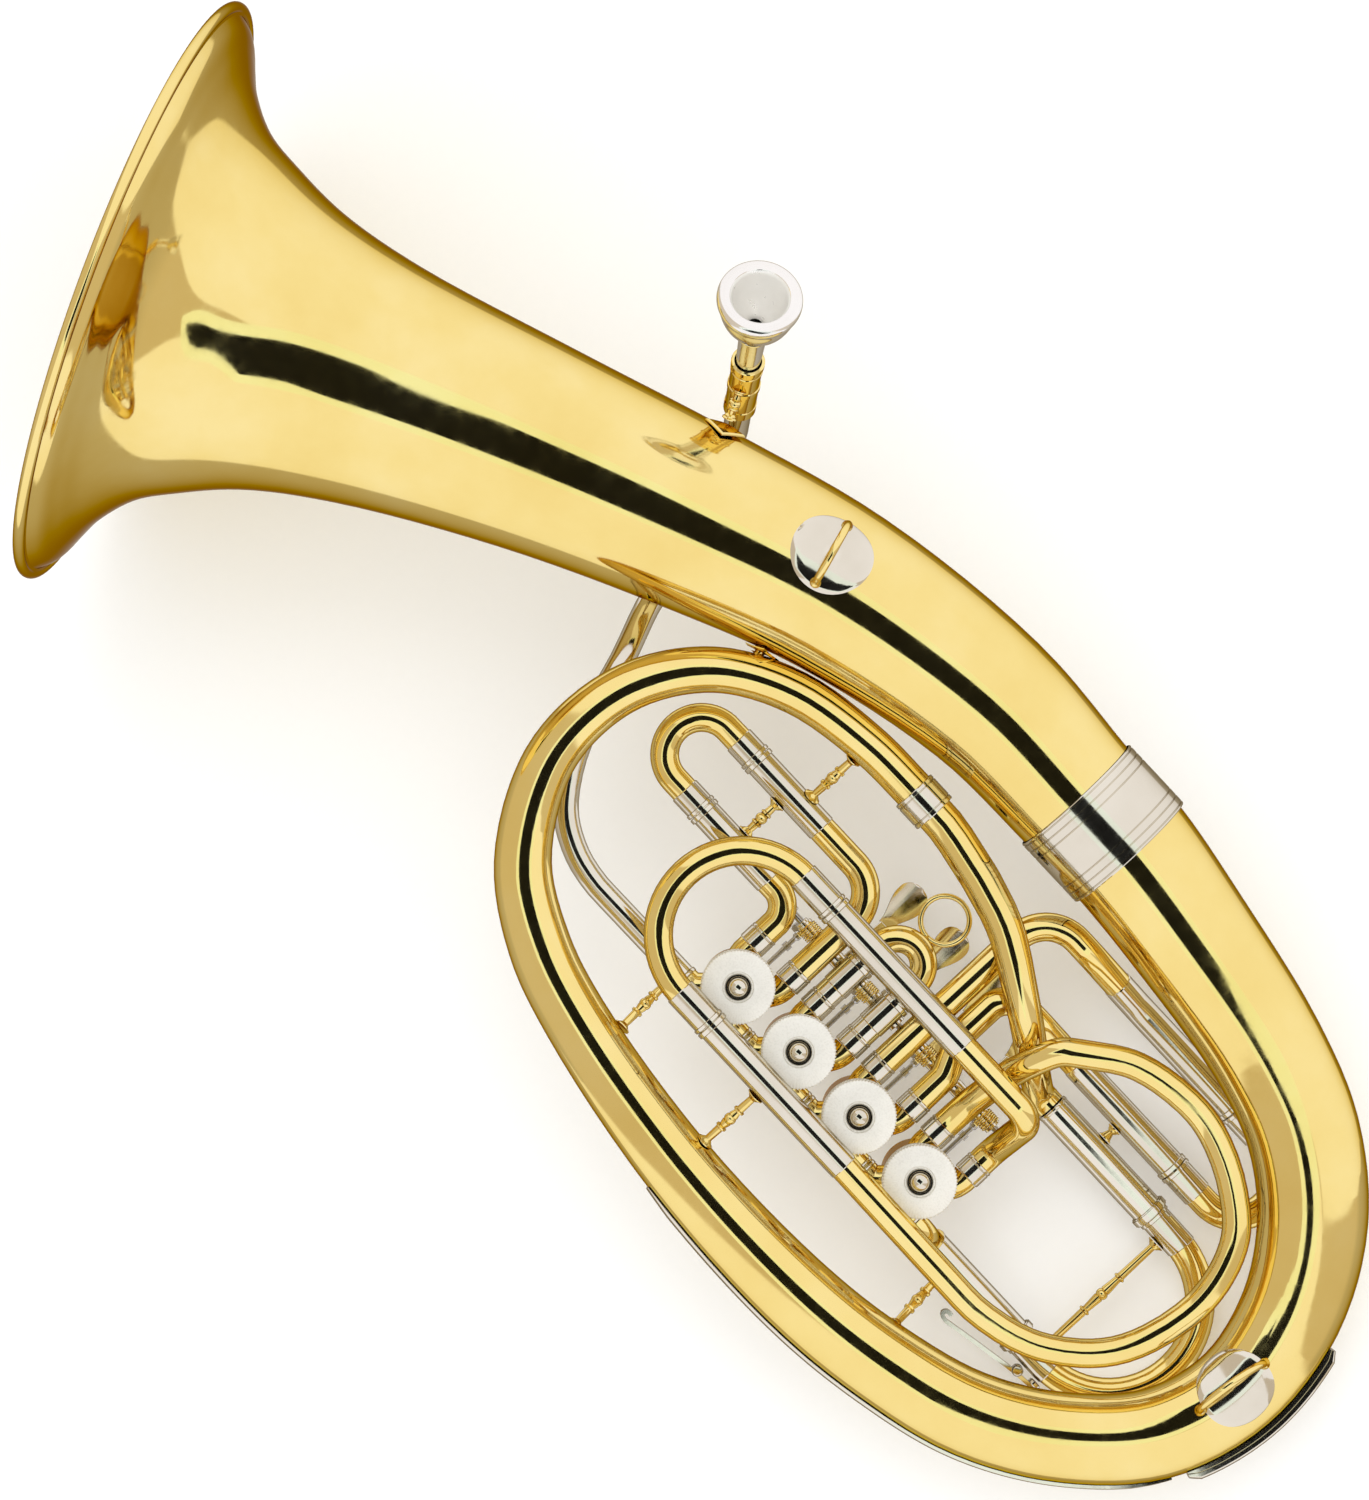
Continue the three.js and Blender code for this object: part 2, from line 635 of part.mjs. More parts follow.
// ---------- finger levers ----------
function leverRod() {
  const ends = [-8, 137.5];
  const shaft = plainRod(line([ends[0], HINGE_Y, HINGE_Z], [ends[1], HINGE_Y, HINGE_Z]), 1.6, 8);
  const posts = ends.map((x) => {
    const post = slab(5, 4, 8.4, x, HINGE_Y, HINGE_Z + 1);
    const rail = slab(5, 20, 2.6, x, HINGE_Y - 8, HINGE_Z + 3.9 - GAP);
    return join(post, rail);
  });
  return join(shaft, ...posts);
}

function lever(index) {
  const [from, to, plateX] = LEVERS[index];
  const crankX = valveX(index) + LINK_X;
  const barrel = plainRod(line([from, 0, 0], [to, 0, 0]), 4.1, 8);
  const arm = slab(6, LEVER_REACH - 16, 2, plateX, (LEVER_REACH - 16) / 2, 0);
  const outline = new THREE.Shape();
  outline.moveTo(-3.2, 0);
  outline.lineTo(3.2, 0);
  outline.lineTo(8, 18);
  outline.absarc(0, 19, 8, 0, Math.PI, false);
  outline.lineTo(-8, 18);
  outline.closePath();
  const plate = new THREE.ExtrudeGeometry(outline, { depth: 2.2, bevelEnabled: false, curveSegments: 8 });
  plate.translate(plateX, LEVER_REACH - 27, -1.1);
  const swinging = join(barrel, arm, plate).rotateX(LEVER_REST);
  const crank = slab(2.6, 4, CRANK, 0, 0, -CRANK / 2);
  const eye = new THREE.CylinderGeometry(2.5, 2.5, 2.6, 10).rotateZ(Math.PI / 2).translate(0, 0, -CRANK);
  const drop = join(crank, eye).rotateX(-LEVER_STROKE / 2).translate(crankX - 3.4, 0, 0);
  const whole = join(swinging, drop);
  const hole = plainRod(line([from - 3, 0, 0], [to + 3, 0, 0]), 1.95, 8);
  const pin = new THREE.CylinderGeometry(1, 1, 5.2, 8).rotateZ(Math.PI / 2);
  pin.translate(0, 0, -CRANK).rotateX(-LEVER_STROKE / 2).translate(crankX - 1, 0, 0);
  return join(cut(whole, hole), pin).translate(0, HINGE_Y, HINGE_Z);
}

function crankTip() {
  return [HINGE_Y - CRANK * Math.sin(LEVER_STROKE / 2), HINGE_Z - CRANK * Math.cos(LEVER_STROKE / 2)];
}

function link(index) {
  const x = valveX(index) + LINK_X;
  const [tipY, z] = crankTip();
  const pinY = VALVE_Y - STOP_ARM * Math.sin(Math.PI / 4);
  const shaft = plainRod(line([x, pinY + 3, z], [x, tipY - 1.6, z]), 1.2, 8);
  const rotorEye = new THREE.CylinderGeometry(4.2, 4.2, 2.8, 10).rotateX(Math.PI / 2).translate(x, pinY, z);
  const rotorHole = new THREE.CylinderGeometry(2.7, 2.7, 6, 10).rotateX(Math.PI / 2).translate(x, pinY, z);
  const crankEye = new THREE.CylinderGeometry(2.9, 2.9, 2.4, 10).rotateZ(Math.PI / 2).translate(x, tipY, z);
  const crankHole = new THREE.CylinderGeometry(1.5, 1.5, 6, 8).rotateZ(Math.PI / 2).translate(x, tipY, z);
  return cut(join(shaft, rotorEye, crankEye), rotorHole, crankHole);
}

// ---------- slides ----------
// The fixed outer part: valve port, ferrule, plain tube, then the sleeve and its collar at the end.
function slideTube(run, sleeveLength) {
  const end = run.getLength();
  const sleeve = end - sleeveLength;
  return tube(run, stepped([
    [0, 13, SLEEVE, BORE], [13, sleeve, TUBE, BORE], [sleeve, end - 3, SLEEVE, SLEEVE_BORE],
    [end - 3, end, COLLAR, SLEEVE_BORE],
  ]));
}

// The moving part: an inner tube, a ferrule, the crook, and the same again on the way back.
function slideCrook(corners, depth = SLEEVE_DEPTH, ferrule = CROOK_FERRULE, crookRadius = TUBE) {
  const run = pipeRun(corners);
  const end = run.getLength();
  const bore = crookRadius - WALL;
  const near = depth + ferrule;
  return tube(run, stepped([
    [0, depth, INNER, INNER_BORE], [depth, near, FERRULE, INNER_BORE], [near, end - near, crookRadius, bore],
    [end - near, end - depth, FERRULE, INNER_BORE], [end - depth, end, INNER, INNER_BORE],
  ]));
}

function portX(index, offset) {
  return valveX(index) + offset;
}

function slide1Upper() {
  const x = portX(0, PORT_B);
  return slideTube(pipeRun([
    [x, PORT_TOP, VALVE_Z], [x, SLIDE_1_UPPER_Y, VALVE_Z, 19], [SLIDE_1_END, SLIDE_1_UPPER_Y, VALVE_Z],
  ]), 44);
}

function slide1Lower() {
  const x = portX(0, PORT_A);
  return slideTube(pipeRun([
    [x, PORT_TOP, VALVE_Z], [x, SLIDE_1_LOWER_Y, VALVE_Z, 12], [SLIDE_1_END, SLIDE_1_LOWER_Y, VALVE_Z],
  ]), 45);
}

function slide1() {
  const radius = (SLIDE_1_UPPER_Y - SLIDE_1_LOWER_Y) / 2;
  const inside = SLIDE_1_END - GAP + 38;
  const far = -88.9 - radius;
  return slideCrook([
    [inside, SLIDE_1_UPPER_Y, VALVE_Z], [far, SLIDE_1_UPPER_Y, VALVE_Z, radius - 0.01],
    [far, SLIDE_1_LOWER_Y, VALVE_Z, radius - 0.01], [inside, SLIDE_1_LOWER_Y, VALVE_Z],
  ], 38, 12);
}

function slide2Tube(offset) {
  const x = portX(1, offset);
  return slideTube(line([x, PORT_TOP, VALVE_Z], [x, SLIDE_2_END, VALVE_Z]), 20);
}

function slide2() {
  const left = portX(1, PORT_A);
  const right = portX(1, PORT_B);
  const radius = (right - left) / 2;
  const inside = SLIDE_2_END + GAP - 20;
  const top = 59 + radius;
  const crook = slideCrook([
    [left, inside, VALVE_Z], [left, top, VALVE_Z, radius - 0.01],
    [right, top, VALVE_Z, radius - 0.01], [right, inside, VALVE_Z],
  ], 20, 11, 6.4);
  const ring = new THREE.TorusGeometry(11.3, 1.1, 5, 14);
  ring.translate((left + right) / 2, top + 6.4 + 11.6, VALVE_Z);
  return join(crook, ring);
}

function slide3Upper() {
  const x = portX(2, PORT_A);
  const [y, z] = SLIDE_3_UPPER;
  return slideTube(pipeRun([
    [x, PORT_TOP, VALVE_Z], [x, y, VALVE_Z, 20], [100, y, VALVE_Z, 14], [112, y, z, 14], [SLIDE_3_END, y, z],
  ]), 82);
}

function slide3Lower() {
  const x = portX(2, PORT_B);
  const [y, z] = SLIDE_3_LOWER;
  return slideTube(pipeRun([
    [x, PORT_TOP, VALVE_Z], [x, 40, VALVE_Z, 12], [x - 9, 58, VALVE_Z, 12], [x - 9, y, VALVE_Z, 12],
    [x + 14, y, VALVE_Z, 10], [x + 34, y, z, 10], [SLIDE_3_END, y, z],
  ]), 66);
}

function slide3() {
  const [upperY, upperZ] = SLIDE_3_UPPER;
  const [lowerY, lowerZ] = SLIDE_3_LOWER;
  const radius = Math.hypot(upperY - lowerY, upperZ - lowerZ) / 2;
  const inside = SLIDE_3_END + GAP - SLEEVE_DEPTH;
  const far = 223 + radius;
  return slideCrook([
    [inside, upperY, upperZ], [far, upperY, upperZ, radius - 0.01],
    [far, lowerY, lowerZ, radius - 0.01], [inside, lowerY, lowerZ],
  ], SLEEVE_DEPTH, 16);
}

function slide4Upper() {
  const x = portX(3, PORT_B);
  return slideTube(pipeRun([
    [x, PORT_TOP, VALVE_Z], [x, 33, VALVE_Z, 10], [x - 2, SLIDE_4_UPPER_Y, SLIDE_4_Z, 10],
    [SLIDE_4_END, SLIDE_4_UPPER_Y, SLIDE_4_Z],
  ]), 86);
}

function slide4Lower() {
  const x = portX(3, PORT_A);
  const z = SLIDE_4_Z;
  const y = SLIDE_4_LOWER_Y;
  return slideTube(smoothRun([
    [x, PORT_TOP, VALVE_Z], [x, 26, VALVE_Z], [x, 38, -16], [x + 0.3, 50, -8.5], [x + 1.2, 62, -1],
    [x + 3.7, 74, 7.5], [x + 8.2, 86, 13], [128.5, 92.7, z], [148.3, 106.6, z], [174, 112.6, z],
    [193, 111.6, z], [217.8, 101.7, z], [237.7, 84.8, z], [247, 54, z], [237.7, 13.3, z],
    [212.9, -11.5, z], [183, y, z], [150, y, z], [92, y, z], [40, y, z], [SLIDE_4_END, y, z],
  ]), 89);
}

function slide4() {
  const radius = (SLIDE_4_UPPER_Y - SLIDE_4_LOWER_Y) / 2;
  const inside = SLIDE_4_END - GAP + SLEEVE_DEPTH;
  const far = -16.5 - radius;
  return slideCrook([
    [inside, SLIDE_4_UPPER_Y, SLIDE_4_Z], [far, SLIDE_4_UPPER_Y, SLIDE_4_Z, radius - 0.01],
    [far, SLIDE_4_LOWER_Y, SLIDE_4_Z, radius - 0.01], [inside, SLIDE_4_LOWER_Y, SLIDE_4_Z],
  ], SLEEVE_DEPTH, 20);
}

// ---------- main tuning slide ----------
function tuningUpper() {
  const run = line([141.7, TUNING_UPPER_Y, TUNING_Z], [TUNING_LEG_END, TUNING_UPPER_Y, TUNING_Z]);
  const end = run.getLength();
  return tube(run, stepped([[0, end - 4, 7.8, SLEEVE_BORE], [end - 4, end, 9.3, SLEEVE_BORE]]));
}

function tuningLower() {
  const start = valveX(VALVE_COUNT - 1) + OUTLET_END + GAP;
  const run = pipeRun([
    [start, CHAIN_Y, VALVE_Z], [start + 6, CHAIN_Y, VALVE_Z, 8], [start + 12, TUNING_LOWER_Y, TUNING_Z, 8],
    [TUNING_LEG_END, TUNING_LOWER_Y, TUNING_Z],
  ]);
  const end = run.getLength();
  return tube(run, stepped([
    [0, 17, TUBE, BORE], [17, end - 4, 7.8, SLEEVE_BORE], [end - 4, end, 9.3, SLEEVE_BORE],
  ]));
}

function tuningSlide() {
  const radius = (TUNING_UPPER_Y - TUNING_LOWER_Y) / 2;
  const inside = TUNING_LEG_END + GAP - SLEEVE_DEPTH;
  const far = 226 + radius;
  return slideCrook([
    [inside, TUNING_UPPER_Y, TUNING_Z], [far, TUNING_UPPER_Y, TUNING_Z, radius - 0.01],
    [far, TUNING_LOWER_Y, TUNING_Z, radius - 0.01], [inside, TUNING_LOWER_Y, TUNING_Z],
  ], SLEEVE_DEPTH, 20, 6.9);
}

function waterKey() {
  const y = TUNING_LOWER_Y - FERRULE - 3.4;
  const strip = pipeRun([[231, y + 0.6, TUNING_Z], [222, y, TUNING_Z, 6], [186, y - 7, TUNING_Z, 6],
    [178, y - 6, TUNING_Z]]);
  const section = new THREE.Shape();
  section.moveTo(-1.9, -0.6);
  section.lineTo(1.9, -0.6);
  section.lineTo(1.9, 0.6);
  section.lineTo(-1.9, 0.6);
  section.closePath();
  const bar = new THREE.ExtrudeGeometry(section, { steps: 10, bevelEnabled: false, extrudePath: strip });
  const knuckle = turnedAbout([[0, -3], [1.9, -3], [1.9, 3], [0, 3]], 8, 220, y + 0.3, TUNING_Z);
  const pad = new THREE.CylinderGeometry(3.2, 3.2, 1.8, 10).translate(230, y + 1.6, TUNING_Z);
  return join(bar, knuckle, pad);
}

// ---------- pieces ----------
place('bell', bell(), BRASS);
place('bell_ferrule', bellFerrule(), NICKEL);
place('main_bow', mainBow(), BRASS);
place('bow_ferrule', bowFerrule(), NICKEL);
place('small_branch', branch(), BRASS);
place('guard_strip', guard(outerEdge(40, -77, 280, 0, 1.7, 12), 13, 2.4, 14), NICKEL);
place('guard_cap', guard(outerEdge(282, 6, 284, 76, 2.3, 6), 18, 5, 8), NICKEL);
place('strap_eye_upper', strapEye(bellRun(), [-115.1, 162.8, 38], 40.2, 1.1, 16, [0.303, -0.953, 0]), NICKEL);
place('strap_eye_lower', strapEye(bowRun(), [283.7, 39.2, 21], 22.4, 1.3, 18, [-0.12, -0.99, 0]), NICKEL);
place('mouthpiece', mouthpiece(), SILVER);
place('mouthpiece_receiver', receiver(), BRASS);
place('leadpipe', leadpipe(), NICKEL);
place('receiver_brace', brace([-173, 134.5, 0], 44.8, [-201.7, 191.6, 24.9], 14, 1.8, 3), BRASS);
place('leadpipe_brace', brace([-160, 134.6, 0], 45.6, [-157.3, 92, -38.3], 6.8), BRASS);
place('bell_bracket', brace([-108, 153, 0], 42.5, [-104.5, 97.5, 0], 11.3, 1.8, 3), BRASS);
place('brace_bow_slide_1', brace([-40, 117.8, 0], 10.6, [-40, SLIDE_1_UPPER_Y, VALVE_Z], 7.2), BRASS);
place('brace_slide_1', brace(
  [-48.5, SLIDE_1_UPPER_Y, VALVE_Z], 7.2, [-48.5, SLIDE_1_LOWER_Y, VALVE_Z], 7.2,
), BRASS);
place('brace_bow_leadpipe', brace([-22.5, -68, 0], 15.8, [-23, CHAIN_Y, VALVE_Z], 6.1), BRASS);
place('brace_bow_slide_4', brace([41, -77.1, 0], 17.2, [41, SLIDE_4_LOWER_Y, SLIDE_4_Z], 7.2), BRASS);
place('brace_bow_tuning', brace([163, -71.8, 0], 20.1, [163, TUNING_LOWER_Y, TUNING_Z], 7.9), BRASS);
place('brace_slide_3_tuning', brace(
  [169, ...SLIDE_3_LOWER], 7.2, [169, TUNING_UPPER_Y, TUNING_Z], 7.9, 1.6, 3,
), BRASS);
place('brace_tuning_slide', brace(
  [221, TUNING_UPPER_Y, TUNING_Z], 7.7, [221, TUNING_LOWER_Y, TUNING_Z], 7.7,
), BRASS);

for (let index = 0; index < VALVE_COUNT; index += 1) {
  place(`casing_${index + 1}`, casing(index), BRASS);
  place(`cap_${index + 1}`, cap(index), NICKEL);
  place(`rotor_${index + 1}`, rotor(index), BRASS);
  place(`lever_${index + 1}`, lever(index), NICKEL);
  place(`link_${index + 1}`, link(index), STEEL);
}
place('lever_rod', leverRod(), NICKEL);

place('slide_1_tube_upper', slide1Upper(), BRASS);
place('slide_1_tube_lower', slide1Lower(), BRASS);
place('slide_1', slide1(), BRASS);
place('slide_2_tube_left', slide2Tube(PORT_A), NICKEL);
place('slide_2_tube_right', slide2Tube(PORT_B), NICKEL);
place('slide_2', slide2(), BRASS);
place('slide_3_tube_upper', slide3Upper(), BRASS);
place('slide_3_tube_lower', slide3Lower(), BRASS);
place('slide_3', slide3(), BRASS);
place('slide_4_tube_upper', slide4Upper(), BRASS);
place('slide_4_tube_lower', slide4Lower(), BRASS);
place('slide_4', slide4(), BRASS);
place('tuning_tube_upper', tuningUpper(), NICKEL);
place('tuning_tube_lower', tuningLower(), NICKEL);
place('tuning_slide', tuningSlide(), BRASS);
place('water_key', waterKey(), BRASS);

// ---------- the attitude in which it lies on a table ----------
// It rests on the bell rim and on the undersides of the tuning slide and of the third slide.
instrument.rotation.set(REST_ROLL, REST_PITCH, 0, 'YXZ');
instrument.updateMatrixWorld(true);
const bounds = new THREE.Box3().setFromObject(instrument, true);
const middle = bounds.getCenter(new THREE.Vector3());
instrument.position.set(-middle.x, -middle.y, -bounds.min.z);

export default instrument;
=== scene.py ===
"""A euphonium of the oval pattern with four rotary valves, lying on a pale floor.

Every shape is laid out in the instrument's own millimetres, as the CAD is: x along the slides, y from the
valves to the bell tube, z towards the player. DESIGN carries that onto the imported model.
"""
import json
from bisect import bisect_right
from math import atan2, cos, degrees, hypot, pi, radians, sin, sqrt, tan

import bmesh
import bpy
from mathutils import Matrix, Vector

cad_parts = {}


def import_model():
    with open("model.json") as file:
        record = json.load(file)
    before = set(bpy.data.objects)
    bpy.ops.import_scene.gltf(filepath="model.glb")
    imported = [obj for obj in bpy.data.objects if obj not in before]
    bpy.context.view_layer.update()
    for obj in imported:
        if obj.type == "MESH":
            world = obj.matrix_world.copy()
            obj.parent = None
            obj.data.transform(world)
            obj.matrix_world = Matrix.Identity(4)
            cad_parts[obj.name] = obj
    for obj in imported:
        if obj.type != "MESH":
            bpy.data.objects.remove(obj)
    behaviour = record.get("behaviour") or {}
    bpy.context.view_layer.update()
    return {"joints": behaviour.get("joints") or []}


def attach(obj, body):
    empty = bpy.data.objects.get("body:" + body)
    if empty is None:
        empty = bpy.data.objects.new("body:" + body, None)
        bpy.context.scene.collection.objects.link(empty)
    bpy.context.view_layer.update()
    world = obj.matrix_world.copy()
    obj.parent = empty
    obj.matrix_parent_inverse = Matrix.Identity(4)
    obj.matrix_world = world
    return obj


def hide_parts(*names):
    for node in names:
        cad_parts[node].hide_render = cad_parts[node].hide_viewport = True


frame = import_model()
JOINTS = {joint["name"]: joint for joint in frame["joints"]}

# ---------- the instrument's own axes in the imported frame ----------
MM = 0.001
VALVE_COUNT = 4
VALVE_PITCH = 40.5
VALVE_Y = -1.2
VALVE_Z = -19.0                     # plane of the valve ports
ALONG = Vector(JOINTS["slide_3_pull"]["axis"]).normalized()
TOWARDS = Vector(JOINTS["rotor_1_turn"]["axis"]).normalized()
ACROSS = TOWARDS.cross(ALONG).normalized()
FIRST_VALVE = Vector(JOINTS["rotor_1_turn"]["pos_m"])
DESIGN = Matrix((
    (ALONG.x, ACROSS.x, TOWARDS.x, 0),
    (ALONG.y, ACROSS.y, TOWARDS.y, 0),
    (ALONG.z, ACROSS.z, TOWARDS.z, 0),
    (0, 0, 0, 1),
)) @ Matrix.Scale(MM, 4)
DESIGN = Matrix.Translation(FIRST_VALVE - DESIGN @ Vector((0, VALVE_Y, VALVE_Z))) @ DESIGN

# ---------- driving dimensions, as in the CAD ----------
WALL = 0.7                          # of the sheet and the tubes
TUBE = 6.7                          # outer radius of the valve tubing
TUBE_BORE = 5.9
SLEEVE = 7.1                        # outer radius of a slide's outer tube
SLEEVE_BORE = 6.5
INNER = 5.8                         # outer radius of a slide's inner tube
INNER_BORE = 5.1
FERRULE = 7.3
COLLAR = 7.9                        # the thick ring at a slide tube's mouth
TUNING_SLEEVE = 7.8
LEADPIPE = 6.0
BELL_MOUTH = Vector((-422, 13, 0))
BELL_LEAN = radians(26)
BELL_AXIS = Vector((cos(BELL_LEAN), sin(BELL_LEAN), 0))
BOW_JOINT = 59                      # where the bell tube meets the bow, inside its ferrule
BOW_JOINT_RADIUS = 31.8
BELL_TUBE_Y = 171.5                 # axis of the bell tube where it meets the bow
BRANCH_JOINT = -3.5
BRANCH_Y = 118.6                    # axis of the small end of the bow
CASING_HALF = 20
PORT_A = -8.7                       # slide ports, measured from the valve axis
PORT_B = 15.2
PORT_TOP = 15.4                     # where a slide tube takes over from the casing
CHAIN_Y = -17.2                     # the passage from valve to valve
CHAIN_END = 20.1
OUTLET_END = 14.4
TUNING_Z = -30
TUNING_UPPER_Y = 66.2
TUNING_LOWER_Y = -18.1
TUNING_LEG_END = 210
SLIDE_1_UPPER_Y = 76.2
SLIDE_1_LOWER_Y = 42
SLIDE_1_END = -70
SLIDE_2_END = 47
SLIDE_3_UPPER = (127.3, -35)
SLIDE_3_LOWER = (88.1, -30)
SLIDE_3_END = 201
SLIDE_4_Z = 14
SLIDE_4_UPPER_Y = 55
SLIDE_4_LOWER_Y = -21.5
SLIDE_4_END = 3
SLEEVE_DEPTH = 46                   # how far an inner tube reaches into its outer tube
HINGE_Y = 40                        # hinge rod of the four finger levers
HINGE_Z = -31
LEVER_REST = radians(-25)
LEVER_STROKE = radians(20)
LEVER_REACH = 57
CRANK = 20
STOP_ARM = 4.91                     # radius of the rotor pin
LINK_X = 4.19                       # link rod, measured from the valve axis
ARM_Z = -43
# barrel start, barrel end and finger plate of each lever
LEVERS = ((1, 35, 27.9), (37, 65, 56.5), (67, 99, 85.2), (101, 130, 113.9))
MOUTHPIECE_RIM = Vector((-218, 214, 87))
MOUTHPIECE_AXIS = Vector((0.24, -0.33, -0.913)).normalized()
MOUTHPIECE_LENGTH = 80
SHANK_DEPTH = 22
RECEIVER_LENGTH = 44


# ---------- centrelines ----------
class Run:
    """A centreline as a close chain of points, with frames carried along it without twist."""

    def __init__(self, points):
        self.points = [points[0]]
        for point in points[1:]:
            if (point - self.points[-1]).length > 1e-4:
                self.points.append(point)
        self.marks = [0.0]
        for first, second in zip(self.points, self.points[1:]):
            self.marks.append(self.marks[-1] + (second - first).length)
        self.length = self.marks[-1]
        self.tangents = self._tangents()
        self.sides = self._sides()

    def _tangents(self):
        steps = [(b - a).normalized() for a, b in zip(self.points, self.points[1:])]
        middle = [(a + b).normalized() for a, b in zip(steps, steps[1:])]
        return [steps[0], *middle, steps[-1]]

    def _sides(self):
        side = Vector((0, 0, 1)).cross(self.tangents[0])
        if side.length < 0.1:
            side = Vector((1, 0, 0))
        side = (side - self.tangents[0] * side.dot(self.tangents[0])).normalized()
        sides = [side]
        for before, after in zip(self.tangents, self.tangents[1:]):
            side = (before.rotation_difference(after) @ side).normalized()
            sides.append(side)
        return sides

    def at(self, distance):
        """Place, side, up and tangent at a distance; past either end the run goes straight on."""
        i = min(max(bisect_right(self.marks, distance) - 1, 0), len(self.points) - 2)
        share = (distance - self.marks[i]) / (self.marks[i + 1] - self.marks[i])
        inside = min(max(share, 0), 1)
        tangent = self.tangents[i].lerp(self.tangents[i + 1], inside).normalized()
        side = self.sides[i].lerp(self.sides[i + 1], inside)
        side = (side - tangent * side.dot(tangent)).normalized()
        return self.points[i].lerp(self.points[i + 1], share), side, tangent.cross(side), tangent

    def nearest(self, place):
        """Distance along the run of its point nearest to place."""
        best = min(range(len(self.points)), key=lambda i: (self.points[i] - place).length_squared)
        return self.marks[best]

    def bends(self, step):
        """Distances at which the run has turned by another step."""
        found = []
        last = self.tangents[0]
        for mark, tangent in zip(self.marks, self.tangents):
            if tangent.angle(last) > step:
                found.append(mark)
                last = tangent
        return found


def arc(start, stop, count):
    """Angles from start to stop, both ends included."""
    return [start + (stop - start) * i / count for i in range(count + 1)]


def line(start, stop):
    return Run([Vector(start), Vector(stop)])


def smooth_points(rows, count=14):
    """A centripetal Catmull-Rom curve through the rows."""
    given = [Vector(row) for row in rows]
    chain = [given[0] * 2 - given[1], *given, given[-1] * 2 - given[-2]]
    points = [given[0]]
    for p0, p1, p2, p3 in zip(chain, chain[1:], chain[2:], chain[3:]):
        t0, t1, t2 = (max((b - a).length, 1e-6) ** 0.5 for a, b in ((p0, p1), (p1, p2), (p2, p3)))
        out = ((p1 - p0) / t0 - (p2 - p0) / (t0 + t1) + (p2 - p1) / t1) * t1
        into = ((p2 - p1) / t1 - (p3 - p1) / (t1 + t2) + (p3 - p2) / t2) * t1
        for i in range(1, count + 1):
            t = i / count
            bow = p1 * -3 + p2 * 3 - out * 2 - into
            snap = p1 * 2 - p2 * 2 + out + into
            points.append(p1 + out * t + bow * t * t + snap * t ** 3)
    return points


def smooth_run(rows, count=14):
    return Run(smooth_points(rows, count))


def pipe_run(corners):
    """Straight runs through the corners x, y, z, rounded where a corner has a bend radius."""
    places = [Vector(corner[:3]) for corner in corners]
    points = [places[0]]
    for before, here, after, corner in zip(places, places[1:], places[2:], corners[1:]):
        into = (here - before).normalized()
        out = (after - here).normalized()
        angle = into.angle(out)
        radius = corner[3]
        inward = (out - into * out.dot(into)).normalized()
        start = here - into * radius * tan(angle / 2)
        steps = max(int(degrees(angle) / 3), 2)
        for i in range(steps + 1):
            turned_by = angle * i / steps
            points.append(start + into * radius * sin(turned_by)
                          + inward * radius * (1 - cos(turned_by)))
    points.append(places[-1])
    return Run(points)


# ---------- shapes: each is a pair (vertices, faces) ----------
def band(low, high):
    """Four-sided faces between two closed rings of corners."""
    count = len(low)
    return [[low[k], low[(k + 1) % count], high[(k + 1) % count], high[k]] for k in range(count)]


def lofted(sections):
    """A skin over sections of equally many points, with capped ends."""
    vertices = [point for section in sections for point in section]
    size = len(sections[0])
    rings = [range(start, start + size) for start in range(0, len(vertices), size)]
    faces = []
    for low, high in zip(rings, rings[1:]):
        faces += band(low, high)
    faces += [list(rings[0]), list(reversed(rings[-1]))]
    return vertices, faces


def turned(run, outline, sides=40, flutes=None):
    """Turns an outline of (distance, radius) rows about the run; it closes on itself or ends on the axis.

    flutes are (how many, depth, from distance, to distance, least radius).
    """
    bends = run.bends(radians(4))
    rows = [outline[0]]
    for (d0, r0), (d1, r1) in zip(outline, outline[1:]):
        between = [b for b in bends if min(d0, d1) + 0.4 < b < max(d0, d1) - 0.4]
        for b in sorted(between, reverse=d1 < d0):
            rows.append((b, r0 + (r1 - r0) * (b - d0) / (d1 - d0)))
        rows.append((d1, r1))
    closed = abs(rows[0][0] - rows[-1][0]) + abs(rows[0][1] - rows[-1][1]) < 1e-6
    if closed:
        rows.pop()
    vertices = []
    rings = []
    for distance, radius in rows:
        place, side, up, _ = run.at(distance)
        if radius < 1e-6:
            rings.append([len(vertices)] * sides)
            vertices.append(place)
            continue
        rings.append(list(range(len(vertices), len(vertices) + sides)))
        for k in range(sides):
            angle = 2 * pi * k / sides
            reach = radius
            if flutes:
                flute_count, flute_depth, first, last, least = flutes
                if first <= distance <= last and radius > least:
                    reach += flute_depth * cos(flute_count * angle)
            vertices.append(place + side * reach * cos(angle) + up * reach * sin(angle))
    faces = []
    pairs = list(zip(rings, rings[1:])) + ([(rings[-1], rings[0])] if closed else [])
    for low, high in pairs:
        for corners in band(low, high):
            corners = list(dict.fromkeys(corners))
            if len(corners) > 2:
                faces.append(corners)
    return vertices, faces


def pipe(run, stages, sides=40):
    """A tube with a wall; stages are (from, to, outer radius, inner radius)."""
    outer = []
    inner = []
    for start, stop, out, bore in stages:
        outer += [(start, out), (stop, out)]
        inner += [(start, bore), (stop, bore)]
    return turned(run, tidy([*outer, *reversed(inner), outer[0]]), sides)


def rod(run, rows, sides=24):
    """A solid turned rod; rows are (distance, radius)."""
    return turned(run, tidy([(rows[0][0], 0), *rows, (rows[-1][0], 0)]), sides)


